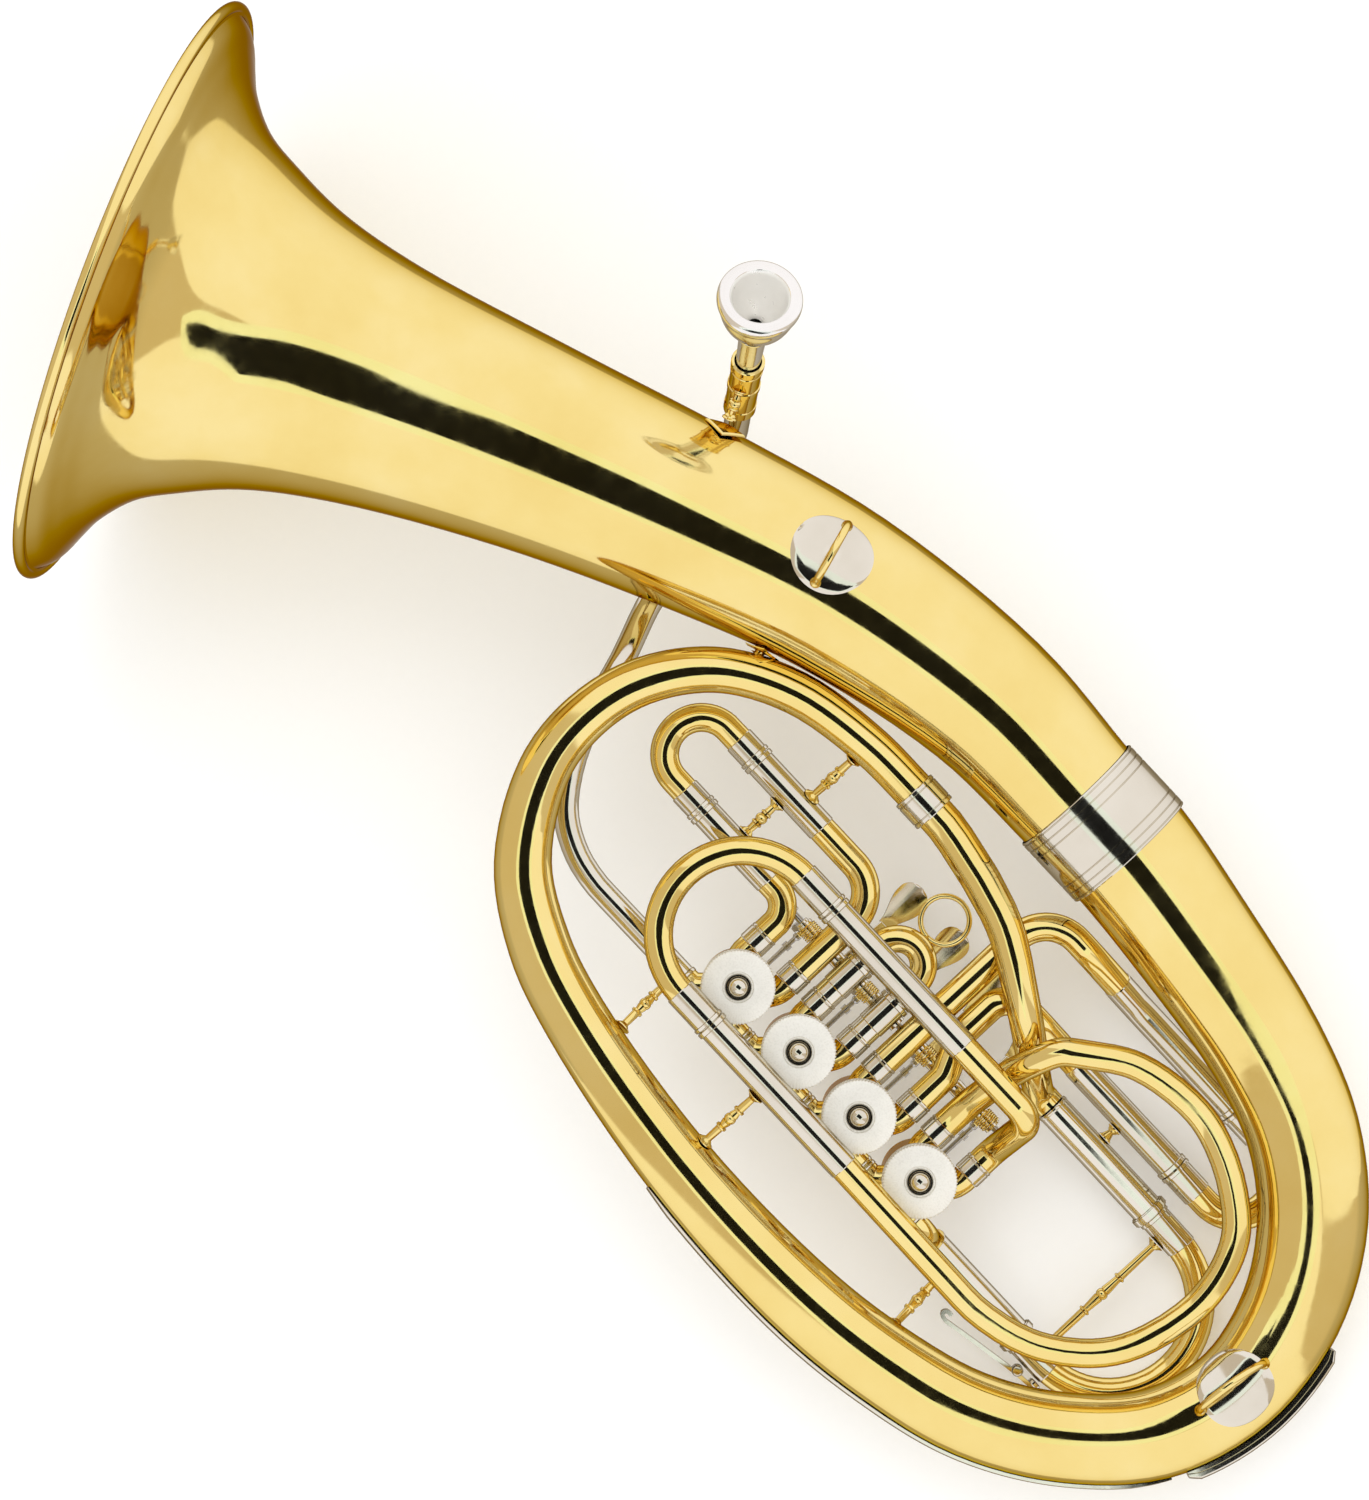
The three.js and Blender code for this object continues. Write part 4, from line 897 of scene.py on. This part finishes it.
def cap(index):
    x = valve_x(index)
    seat = VALVE_Z + CASING_HALF
    axis = line((x, VALVE_Y, seat - 6), (x, VALVE_Y, seat + 8))
    rim = [(0, 16.35), (0, 16.9), (0.4, 17.1), (4, 17.1), (4.2, 16.7), (5, 16.7), (5.3, 17.0), (9.3, 17.0),
           (9.75, 16.75), (10, 16.3)]
    face = [(10, 7.3), (9.7, 7.1), (9.3, 6.9), (9.3, 6.2)]
    outline = [*rim, *face, (7, 6.2), (7, 16.35), (0, 16.35)]
    shape = turned(axis, tidy(outline), 288, flutes=(72, 0.28, 5.2, 9.8, 16))
    piece(f"cap_{index + 1}_disc", shape, SATIN, stands_for=f"cap_{index + 1}", crease=50)
    boss = [(9.2, 6.1), (10, 6.1), (10.3, 5.9), (10.3, 5), (10, 4.8)]
    nut = [(10, 4.4), (10.6, 4.4)]
    for i in range(1, 11):
        angle = pi / 2 * i / 10
        nut.append((10.6 + 3.1 * sin(angle), 4.4 * cos(angle)))
    hub = turned(axis, tidy([(7, 0), (7, 6.1), *boss, *nut[:-1], (13.7, 0)]), 72)
    piece(f"cap_{index + 1}_boss", hub, NICKEL)


def rotor(index):
    x = valve_x(index)
    body = f"rotor_{index + 1}"
    low = VALVE_Z - 15
    axis = line((x, VALVE_Y, ARM_Z - 2.6), (x, VALVE_Y, VALVE_Z + 15))
    zero = ARM_Z - 2.6
    rows = [(0, 1.6), (0.4, 2.2), (1.2, 2.4), (1.2, 2.9), (4.2, 2.9), (4.2, 2.6), (low - 1 - zero, 2.6),
            (low - zero, 4.5), (low - zero, 13.2), (axis.length, 13.2)]
    spindle = rod(axis, rows, 48)
    piece(f"rotor_{index + 1}_plug", spindle, BRASS, body, stands_for=body)
    pin_place = Vector((x + STOP_ARM * cos(pi / 4), VALVE_Y - STOP_ARM * sin(pi / 4), ARM_Z))
    outline = capsule(STOP_ARM + 4.2, 2.3, 2.0, -3.2)
    move = Matrix.Translation((x, VALVE_Y, ARM_Z)) @ Matrix.Rotation(-pi / 4, 4, "Z")
    arm = extruded(outline, 2.4, move)
    piece(f"rotor_{index + 1}_stop_arm", arm, NICKEL, body, bevel=0.3)
    depth = HINGE_Z - CRANK - 2.4
    pin = rod(line(pin_place, (pin_place.x, pin_place.y, depth)),
              [(0, 1.1), (abs(depth - ARM_Z) - 1.2, 1.1), (abs(depth - ARM_Z) - 1.2, 1.6),
               (abs(depth - ARM_Z) - 0.2, 1.6), (abs(depth - ARM_Z), 1.2)], 20)
    piece(f"rotor_{index + 1}_pin", pin, STEEL, body)


def capsule(length, radius, end_radius, start=0.0):
    """A flat outline round at both ends: radius at its start, end_radius at its far end."""
    middle = start + radius
    far = start + length - end_radius
    quarter = pi / 2
    points = [(middle + radius * cos(a), radius * sin(a)) for a in arc(quarter, 3 * quarter, 12)]
    points += [(far + end_radius * cos(a), end_radius * sin(a)) for a in arc(-quarter, quarter, 12)]
    return points


# ---------- finger levers ----------
def lever_rod():
    ends = (-8, 137.5)
    shaft = rod(line((ends[0] - 3.2, HINGE_Y, HINGE_Z), (ends[1] + 3.2, HINGE_Y, HINGE_Z)),
                [(0, 1.2), (0.3, 2.1), (1, 2.1), (1, 1.6), (151, 1.6), (151, 2.1), (151.6, 2.1),
                 (151.9, 1.2)], 24)
    shapes = []
    for x in ends:
        turn = Matrix.Rotation(pi / 2, 4, "Y")
        post = extruded(capsule(8.4, 3.4, 2), 4.2, Matrix.Translation((x, HINGE_Y, HINGE_Z + 5)) @ turn)
        shapes.append(post)
        rail = extruded([(-2.5, -18), (2.5, -18), (2.5, 2), (-2.5, 2)], 2.4,
                        Matrix.Translation((x, HINGE_Y, HINGE_Z + 3.7)))
        shapes.append(rail)
    piece("lever_rod_shaft", shaft, STEEL, stands_for="lever_rod")
    piece("lever_rod_posts", together(*shapes), NICKEL, bevel=0.5)


def lever(index):
    start, stop, plate_x = LEVERS[index]
    body = f"lever_{index + 1}"
    hinge = Matrix.Translation((0, HINGE_Y, HINGE_Z))
    swing = hinge @ Matrix.Rotation(LEVER_REST, 4, "X")
    axis = line((start, HINGE_Y, HINGE_Z), (stop, HINGE_Y, HINGE_Z))
    width = stop - start
    barrel = pipe(axis, [(0, 1.6, 4.1, 1.9), (1.6, 2.4, 3.6, 1.9), (2.4, width - 2.4, 3.9, 1.9),
                         (width - 2.4, width - 1.6, 3.6, 1.9), (width - 1.6, width, 4.1, 1.9)], 40)
    piece(body + "_barrel", barrel, NICKEL, body, stands_for=body, bevel=0.2)
    arm = extruded([(-3.6, 2), (3.6, 2), (2.6, 30), (-2.6, 30)], 2,
                   swing @ Matrix.Translation((plate_x, 0, 0)))
    piece(body + "_arm", arm, NICKEL, body, bevel=0.5)
    piece(body + "_touch", touch_plate(swing @ Matrix.Translation((plate_x, LEVER_REACH - 27, 0))), NICKEL,
          body, bevel=0.3)
    crank_x = valve_x(index) + LINK_X - 3.4
    drop = hinge @ Matrix.Rotation(-LEVER_STROKE / 2, 4, "X") @ Matrix.Translation((crank_x, 0, 0))
    stand = drop @ Matrix.Rotation(pi / 2, 4, "Y")
    crank = extruded(capsule(CRANK + 5, 3.2, 2.5, -2.5), 2.4, stand)
    piece(body + "_crank", crank, NICKEL, body, bevel=0.3)
    tip = drop @ Vector((-1.8, 0, -CRANK))
    end = drop @ Vector((5.0, 0, -CRANK))
    screw = rod(line(tip, end), [(0, 1.4), (0.3, 1.8), (0.9, 1.8), (0.9, 1), (6.1, 1), (6.1, 1.7),
                                 (6.6, 1.7), (6.8, 1.3)], 20)
    piece(body + "_pivot_screw", screw, STEEL, body)
    spring_start = valve_x(index) + 0.5 if index else 2.5
    coil = helix((spring_start, HINGE_Y, HINGE_Z), (spring_start + 6.5, HINGE_Y, HINGE_Z), 4.5, 6, 0.4)
    piece(body + "_spring", coil, BRASS)


def touch_plate(move):
    """The dished finger plate: a rounded blade that widens from the arm."""
    rows = 26
    columns = 14
    top = []
    bottom = []
    for i in range(rows + 1):
        y = 27 * i / rows
        if y < 19:
            half = 3.2 + (8 - 3.2) * (0.5 - 0.5 * cos(pi * min(y / 18, 1)))
        else:
            half = max(sqrt(max(64 - (y - 19) ** 2, 0)), 0.4)
        for k in range(columns + 1):
            x = half * (-1 + 2 * k / columns)
            dish = 1.7 * (x / 8) ** 2 + 1.2 * (max(y - 8, 0) / 19) ** 2 - 0.5
            top.append(move @ Vector((x, y, dish + 0.5)))
            bottom.append(move @ Vector((x, y, dish - 0.9)))
    vertices = top + bottom
    size = columns + 1
    shift = len(top)
    faces = []
    for i in range(rows):
        for k in range(columns):
            a = i * size + k
            faces.append([a, a + 1, a + 1 + size, a + size])
            faces.append([a + shift, a + shift + size, a + 1 + size + shift, a + 1 + shift])
    edge = [k for k in range(size)] + [(i + 1) * size + columns for i in range(rows)]
    edge += [rows * size + k for k in reversed(range(columns))]
    edge += [i * size for i in reversed(range(1, rows))]
    for a, b in zip(edge, edge[1:] + edge[:1]):
        faces.append([a, b, b + shift, a + shift])
    return vertices, faces


def link(index):
    x = valve_x(index) + LINK_X
    body = f"link_{index + 1}"
    tip_y = HINGE_Y - CRANK * sin(LEVER_STROKE / 2)
    z = HINGE_Z - CRANK * cos(LEVER_STROKE / 2)
    pin_y = VALVE_Y - STOP_ARM * sin(pi / 4)
    shaft_line = line((x, pin_y + 3.2, z), (x, tip_y - 2, z))
    length = shaft_line.length
    rows = [(0, 2), (1.6, 2), (2.6, 1.2), (6, 1.2), (6, 2.1), (9, 2.1), (9, 1.2), (length - 9, 1.2),
            (length - 9, 2.1), (length - 6, 2.1), (length - 6, 1.2), (length - 2.6, 1.2), (length - 1.6, 2),
            (length, 2)]
    piece(body + "_rod", rod(shaft_line, rows, 20), STEEL, body, stands_for=body)
    eye = pipe(line((x, pin_y, z - 1.4), (x, pin_y, z + 1.4)), [(0, 2.8, 4.2, 2.7)], 36)
    fork = pipe(line((x - 1.2, tip_y, z), (x + 1.2, tip_y, z)), [(0, 2.4, 2.9, 1.4)], 32)
    piece(body + "_eyes", together(eye, fork), BRASS, body, bevel=0.25)


# ---------- slides ----------
def slide_tube(name, run, sleeve_length, node, plain=BRASS):
    """The fixed part: port ferrule, plain tube, then the nickel sleeve with its collar at the mouth."""
    end = run.length
    sleeve = end - sleeve_length
    piece(name + "_tube", pipe(run, [(1, sleeve + 1, TUBE, TUBE_BORE)]), plain, stands_for=node)
    port = grooved(run, 9, SLEEVE, 5.95, (7.4,), 48, 0.25)
    mouth = turned(run, [(sleeve, SLEEVE - 0.3), (sleeve + 0.4, SLEEVE), (end - 2.6, SLEEVE),
                         (end - 2.4, COLLAR - 0.2), (end - 2.2, COLLAR), (end - 0.4, COLLAR),
                         (end, COLLAR - 0.4), (end, SLEEVE_BORE), (sleeve, SLEEVE_BORE),
                         (sleeve, SLEEVE - 0.3)], 48)
    piece(name + "_sleeve", together(port, mouth), NICKEL)


def slide_crook(name, run, depth, ferrule, body, radius=TUBE, node=None, knob=None):
    """The moving part: inner tube, ferrule, crook, and the same again on the way back."""
    end = run.length
    near = depth + ferrule
    crook = pipe(run, [(near - 1.5, end - near + 1.5, radius, radius - WALL)], 56)
    piece(name + "_crook", crook, BRASS, body, stands_for=node)
    shapes = [pipe(run, [(0, depth + 1, INNER, INNER_BORE)]),
              pipe(run, [(end - depth - 1, end, INNER, INNER_BORE)])]
    collar = [(0, COLLAR - 0.4), (0.4, COLLAR), (1.8, COLLAR), (2.1, FERRULE), (ferrule - 0.4, FERRULE),
              (ferrule, FERRULE - 0.3), (ferrule, TUBE_BORE), (0, TUBE_BORE), (0, COLLAR - 0.4)]
    shapes.append(turned(run, [(depth + d, r) for d, r in collar], 48))
    shapes.append(turned(run, [(end - depth - d, r) for d, r in collar], 48))
    piece(name + "_ferrules", together(*shapes), NICKEL, body)


def u_turn(inside, y0, z0, far, y1, z1):
    radius = hypot(y1 - y0, z1 - z0) / 2 - 0.01
    return pipe_run([(inside, y0, z0), (far, y0, z0, radius), (far, y1, z1, radius), (inside, y1, z1)])


def slide_1():
    z = VALVE_Z
    upper = pipe_run([(PORT_B, PORT_TOP, z), (PORT_B, SLIDE_1_UPPER_Y, z, 19),
                      (SLIDE_1_END, SLIDE_1_UPPER_Y, z)])
    slide_tube("slide_1_upper", upper, 44, "slide_1_tube_upper")
    lower = pipe_run([(PORT_A, PORT_TOP, z), (PORT_A, SLIDE_1_LOWER_Y, z, 12),
                      (SLIDE_1_END, SLIDE_1_LOWER_Y, z)])
    slide_tube("slide_1_lower", lower, 45, "slide_1_tube_lower")
    radius = (SLIDE_1_UPPER_Y - SLIDE_1_LOWER_Y) / 2
    run = u_turn(SLIDE_1_END - 0.3 + 38, SLIDE_1_UPPER_Y, z, -88.9 - radius, SLIDE_1_LOWER_Y, z)
    slide_crook("first", run, 38, 12, "slide_1", node="slide_1")


def slide_2():
    z = VALVE_Z
    left = valve_x(1) + PORT_A
    right = valve_x(1) + PORT_B
    for name, x in (("left", left), ("right", right)):
        run = line((x, PORT_TOP, z), (x, SLIDE_2_END, z))
        slide_tube("slide_2_" + name, run, 20 - 3.4, "slide_2_tube_" + name, plain=NICKEL)
    radius = (right - left) / 2
    inside = SLIDE_2_END + 0.3 - 20
    top = 59 + radius
    run = pipe_run([(left, inside, z), (left, top, z, radius - 0.01), (right, top, z, radius - 0.01),
                    (right, inside, z)])
    slide_crook("second", run, 20, 11, "slide_2", 6.4, node="slide_2")
    centre = Vector(((left + right) / 2, top + 6.4 + 11.6, z))
    ring = Run([centre + Vector((sin(angle), cos(angle), 0)) * 11.3
                for angle in arc(0, 2 * pi, 64)])
    band = rod(ring, [(0, 1.3), (ring.length, 1.3)], 20)
    seat = rod(line(centre + Vector((0, -13.2, 0)), centre + Vector((0, -10.6, 0))),
               [(0, 2.6), (0.8, 2.2), (2.6, 1.2)], 20)
    piece("second_pull_ring", together(band, seat), BRASS, "slide_2")


def slide_3():
    x = valve_x(2)
    y, z = SLIDE_3_UPPER
    upper = pipe_run([(x + PORT_A, PORT_TOP, VALVE_Z), (x + PORT_A, y, VALVE_Z, 20), (101, y, VALVE_Z, 30),
                      (136, y, z, 30), (SLIDE_3_END, y, z)])
    slide_tube("slide_3_upper", upper, 82, "slide_3_tube_upper")
    low_y, low_z = SLIDE_3_LOWER
    port = x + PORT_B
    lower = pipe_run([(port, PORT_TOP, VALVE_Z), (port, 40, VALVE_Z, 12), (port - 9, 58, VALVE_Z, 12),
                      (port - 9, low_y, VALVE_Z, 12), (port + 14, low_y, VALVE_Z, 10),
                      (port + 34, low_y, low_z, 10), (SLIDE_3_END, low_y, low_z)])
    slide_tube("slide_3_lower", lower, 66, "slide_3_tube_lower")
    radius = hypot(y - low_y, z - low_z) / 2
    run = u_turn(SLIDE_3_END + 0.3 - SLEEVE_DEPTH, y, z, 223 + radius, low_y, low_z)
    slide_crook("third", run, SLEEVE_DEPTH, 16, "slide_3", node="slide_3")


def slide_4():
    x = valve_x(VALVE_COUNT - 1) + PORT_B
    z = SLIDE_4_Z
    upper = pipe_run([(x, PORT_TOP, VALVE_Z), (x, 33, VALVE_Z, 10), (x - 2, SLIDE_4_UPPER_Y, z, 10),
                      (SLIDE_4_END, SLIDE_4_UPPER_Y, z)])
    slide_tube("slide_4_upper", upper, 86, "slide_4_tube_upper")
    x = valve_x(VALVE_COUNT - 1) + PORT_A
    y = SLIDE_4_LOWER_Y
    lower = smooth_run([
        (x, PORT_TOP, VALVE_Z), (x, 26, VALVE_Z), (x, 38, -16), (x + 0.3, 50, -8.5), (x + 1.2, 62, -1),
        (x + 3.7, 74, 7.5), (x + 8.2, 86, 13), (128.5, 92.7, z), (148.3, 106.6, z), (174, 112.6, z),
        (193, 111.6, z),
        (217.8, 101.7, z), (237.7, 84.8, z), (247, 54, z), (237.7, 13.3, z), (212.9, -11.5, z), (183, y, z),
        (150, y, z), (92, y, z), (40, y, z), (SLIDE_4_END, y, z),
    ])
    slide_tube("slide_4_lower", lower, 89, "slide_4_tube_lower")
    radius = (SLIDE_4_UPPER_Y - y) / 2
    run = u_turn(SLIDE_4_END - 0.3 + SLEEVE_DEPTH, SLIDE_4_UPPER_Y, z, -16.5 - radius, y, z)
    slide_crook("fourth", run, SLEEVE_DEPTH, 20, "slide_4", node="slide_4")


# ---------- main tuning slide ----------
def tuning_leg(name, run, start, node):
    end = run.length
    sleeve = pipe(run, [(start, end - 4, TUNING_SLEEVE, SLEEVE_BORE)], 48)
    collar = pipe(run, [(end - 4, end - 3.4, 8.7, SLEEVE_BORE), (end - 3.4, end - 0.6, 9.3, SLEEVE_BORE),
                        (end - 0.6, end, 8.8, SLEEVE_BORE)], 48)
    ring = bead(run, start + 1, 1.8, 7.7, 0.35, 48)
    piece(name + "_sleeve", together(sleeve, collar, ring), NICKEL, stands_for=node)
    if start > 1:
        piece(name + "_outlet", pipe(run, [(0, start + 1, TUBE, TUBE_BORE)], 48), BRASS)


def tuning_slide():
    upper = line((141.7, TUNING_UPPER_Y, TUNING_Z), (TUNING_LEG_END, TUNING_UPPER_Y, TUNING_Z))
    tuning_leg("tuning_upper", upper, 0, "tuning_tube_upper")
    start = valve_x(VALVE_COUNT - 1) + OUTLET_END + 0.3
    lower = pipe_run([(start, CHAIN_Y, VALVE_Z), (start + 6, CHAIN_Y, VALVE_Z, 8),
                      (start + 12, TUNING_LOWER_Y, TUNING_Z, 8),
                      (TUNING_LEG_END, TUNING_LOWER_Y, TUNING_Z)])
    tuning_leg("tuning_lower", lower, 17, "tuning_tube_lower")
    radius = (TUNING_UPPER_Y - TUNING_LOWER_Y) / 2
    run = u_turn(TUNING_LEG_END + 0.3 - SLEEVE_DEPTH, TUNING_UPPER_Y, TUNING_Z, 226 + radius,
                 TUNING_LOWER_Y, TUNING_Z)
    slide_crook("tuning", run, SLEEVE_DEPTH, 20, "tuning_slide", 6.9, node="tuning_slide")


def water_key():
    y = TUNING_LOWER_Y - 11
    z = TUNING_Z
    strip = smooth_run([(231, y + 0.4, z), (226, y - 0.2, z), (220, y - 0.8, z), (208, y - 2.8, z),
                        (192, y - 5.8, z), (184, y - 7.4, z), (179.8, y - 8, z), (177, y - 6.7, z),
                        (178, y - 4.9, z), (180.6, y - 4.8, z)])
    section = [(-0.8, -2.1), (1.2, -2.1), (1.2, 2.1), (-0.8, 2.1)]
    piece("water_key_lever", swept(strip, section, count=90), NICKEL, "water_key", stands_for="water_key",
          bevel=0.3)
    knuckle = rod(line((220, y + 0.3, z - 3), (220, y + 0.3, z + 3)),
                  [(0, 1.8), (0.3, 2.2), (5.7, 2.2), (6, 1.8)], 24)
    piece("water_key_knuckle", knuckle, NICKEL, "water_key")
    pad = rod(line((230, y + 0.7, z), (230, y + 2.5, z)), [(0, 2.8), (0.4, 3.2), (1.8, 3.2)], 32)
    piece("water_key_cup", pad, NICKEL, "water_key")
    face = rod(line((230, y + 2.4, z), (230, y + 2.9, z)), [(0, 2.7), (0.5, 2.5)], 28)
    piece("water_key_cork", face, CORK, "water_key")
    coil = helix((220, y + 0.3, z - 2.6), (220, y + 0.3, z + 2.6), 2.5, 5, 0.3)
    piece("water_key_spring", coil, STEEL, "tuning_slide")


def build():
    bell()
    bell_ferrule()
    main_bow()
    small_branch()
    bow_ferrule()
    guard("guard_strip_plate", (40, -77), (280, 0), 13, 1.8, (), "guard_strip")
    guard("guard_cap_plate", (282, 6), (284, 76), 18, 4.9, (0.5,), "guard_cap")
    strap_eye("upper_eye", bell_run(), Vector((-115.1, 162.8, 38)), 40.2, 0.6, 16,
              Vector((0.303, -0.953, 0)), "strap_eye_upper")
    strap_eye("lower_eye", bow_run(), Vector((283.7, 39.2, 21)), 22.2, 0.6, 18, Vector((-0.12, -0.99, 0)),
              "strap_eye_lower")
    mouthpiece()
    receiver()
    leadpipe()
    braces()
    for index in range(VALVE_COUNT):
        casing(index)
        cap(index)
        rotor(index)
        lever(index)
        link(index)
    lever_rod()
    slide_1()
    slide_2()
    slide_3()
    slide_4()
    tuning_slide()
    water_key()


# ---------- stage, light and camera ----------
PRINCIPAL = Vector((-95.8, 54.7, 0))
CAMERA_DISTANCE = 1900
IMAGE_UP = Vector((-0.731, 0.682, 0))
VIEW_HEIGHT = 685.5                 # what the picture takes in at that distance
SENSOR = 36
FLOOR_HALF = 6                      # metres
EDGE_SHARPNESS = 40                 # of the edges between the lights and the walls
CARD_HEIGHT = 600
CARD_SIDE = -140                    # its straight edge, then its (place along, far edge) rows
CARD_ROWS = [(-130, 225), (60, 205), (120, 170), (360, 170)]
CARD_BORDER = 90
PALE = (0.95, 0.95, 0.95)
WALL_TONE = (0.66, 0.57, 0.46)      # what the metal sees between the lights
LOW_TONE = (0.54, 0.48, 0.39)       # and below them
LIGHT_TONE = (1.02, 0.99, 1.0)


def stage():
    mesh = bpy.data.meshes.new("floor")
    corners = [(x * FLOOR_HALF, y * FLOOR_HALF, 0) for x, y in ((-1, -1), (1, -1), (1, 1), (-1, 1))]
    mesh.from_pydata(corners, [], [(0, 1, 2, 3)])
    floor = placed("floor", mesh)
    nodes = Nodes("pale_floor")
    grain = nodes.ramp(nodes.noise(220, 3), [(0.3, (0.945, 0.945, 0.94)), (0.7, (0.955, 0.955, 0.95))])
    nodes.set(Base_Color=grain, Roughness=0.9)
    mesh.materials.append(nodes.material)
    floor.visible_glossy = False


def view_axes():
    """The picture's right and up, and the direction back to the camera."""
    turn = DESIGN.to_3x3().normalized()
    up = turn @ IMAGE_UP.normalized()
    back = turn @ Vector((0, 0, 1))
    return up.cross(back), up, back


def diagonals():
    """The picture's lower left and lower right directions."""
    right, up, _ = view_axes()
    return (right * -1 - up).normalized(), (right - up).normalized()


def world():
    """A white room. Metal sees two big soft lights and the beige walls between and below them."""
    setting = bpy.data.worlds.new("studio")
    bpy.context.scene.world = setting
    setting.use_nodes = True
    tree = setting.node_tree
    place = tree.nodes.new("ShaderNodeTexCoord")

    def calc(operation, *values, clamp=False):
        node = tree.nodes.new("ShaderNodeMath")
        node.operation = operation
        node.use_clamp = clamp
        for socket, value in zip(node.inputs, values):
            feed(tree, socket, value)
        return node.outputs[0]

    def towards(axis):
        dot = tree.nodes.new("ShaderNodeVectorMath")
        dot.operation = "DOT_PRODUCT"
        dot.inputs[1].default_value = axis
        tree.links.new(place.outputs["Generated"], dot.inputs[0])
        return dot.outputs["Value"]

    left_down, right_down = diagonals()
    depth = towards(view_axes()[2])
    across = towards(left_down)
    along = towards(right_down)

    def beyond(a, b, c, offset=0.0):
        """1 on the far side of a straight edge across the room, 0 on the near side."""
        share = calc("MULTIPLY_ADD", across, a, offset)
        share = calc("MULTIPLY_ADD", along, b, share)
        share = calc("MULTIPLY_ADD", depth, c, share)
        return calc("MULTIPLY", share, EDGE_SHARPNESS, clamp=True)

    def all_of(*shares):
        result = shares[0]
        for share in shares[1:]:
            result = calc("MINIMUM", result, share)
        return result

    upper_light = all_of(beyond(-1, -0.82, 0.2), beyond(-1, 0, -0.03), beyond(0, 0, 1, 0.68))
    lower_light = all_of(beyond(1, 0.13, 0), beyond(0.15, 1, -0.13), beyond(0, 0, 1, 0.45))
    room = colours_mixed(tree, beyond(0, 0, 0.12, 0.03), LOW_TONE, WALL_TONE)
    seen = colours_mixed(tree, calc("MAXIMUM", upper_light, lower_light), room, LIGHT_TONE)
    path = tree.nodes.new("ShaderNodeLightPath")
    colour = colours_mixed(tree, path.outputs["Is Glossy Ray"], PALE, seen)
    tree.links.new(colour, tree.nodes["Background"].inputs["Color"])


def lens_card():
    """The dark gap between the lights, where the lens looks through. Only reflections see it."""
    _, _, back = view_axes()
    left_down, right_down = diagonals()
    middle = DESIGN @ PRINCIPAL + back * CARD_HEIGHT * MM
    rows = [(CARD_ROWS[0][0] - CARD_BORDER, CARD_ROWS[0][1])] + CARD_ROWS
    rows.append((CARD_ROWS[-1][0] + CARD_BORDER, CARD_ROWS[-1][1]))
    vertices = []
    for b, width in rows:
        for a in (CARD_SIDE - CARD_BORDER, CARD_SIDE, width, width + CARD_BORDER):
            vertices.append(middle + (left_down * a + right_down * b) * MM)
    faces = []
    dark = []
    for row in range(len(rows) - 1):
        for column in range(3):
            k = row * 4 + column
            faces.append((k, k + 1, k + 5, k + 4))
            dark.append(column == 1 and 0 < row < len(rows) - 2)
    mesh = bpy.data.meshes.new("lens_card")
    mesh.from_pydata(vertices, [], faces)
    black = Nodes("black_card").set(Base_Color=(0.01, 0.01, 0.01), Roughness=1.0, Specular_IOR_Level=0.0)
    pale = Nodes("pale_border").set(Base_Color=(0, 0, 0), Emission_Color=(0.96, 1.05, 1.0),
                                    Emission_Strength=1.0)
    mesh.materials.append(black)
    mesh.materials.append(pale)
    for polygon, black_here in zip(mesh.polygons, dark):
        polygon.material_index = 0 if black_here else 1
    card = placed("lens_card", mesh)
    card.visible_camera = False
    card.visible_diffuse = False
    card.visible_shadow = False


def softbox(name, place, aim, size, power, shadow=True):
    light = bpy.data.lights.new(name, "AREA")
    light.shape = "RECTANGLE"
    light.size, light.size_y = size
    light.energy = power
    light.use_shadow = shadow
    lamp = placed(name, light)
    lamp.location = place
    lamp.rotation_euler = (Vector(aim) - Vector(place)).to_track_quat("-Z", "Y").to_euler()
    lamp.visible_glossy = False


def camera():
    data = bpy.data.cameras.new("camera")
    data.sensor_fit = "VERTICAL"
    data.sensor_height = SENSOR
    data.lens = SENSOR * CAMERA_DISTANCE / VIEW_HEIGHT
    data.clip_end = 50
    eye = placed("camera", data)
    right, up, back = view_axes()
    place = DESIGN @ (PRINCIPAL + Vector((0, 0, CAMERA_DISTANCE)))
    eye.matrix_world = Matrix.Translation(place) @ Matrix((right, up, back)).transposed().to_4x4()
    bpy.context.scene.camera = eye


camera()
stage()
world()
lens_card()
bpy.context.scene.view_settings.view_transform = "Standard"
softbox("key", (-1.0, 0.9, 2.4), (0, 0, 0), (1.6, 1.6), 8)
softbox("fill", (1.4, -1.0, 2.2), (0, 0, 0), (1.6, 1.6), 24, shadow=False)
build()
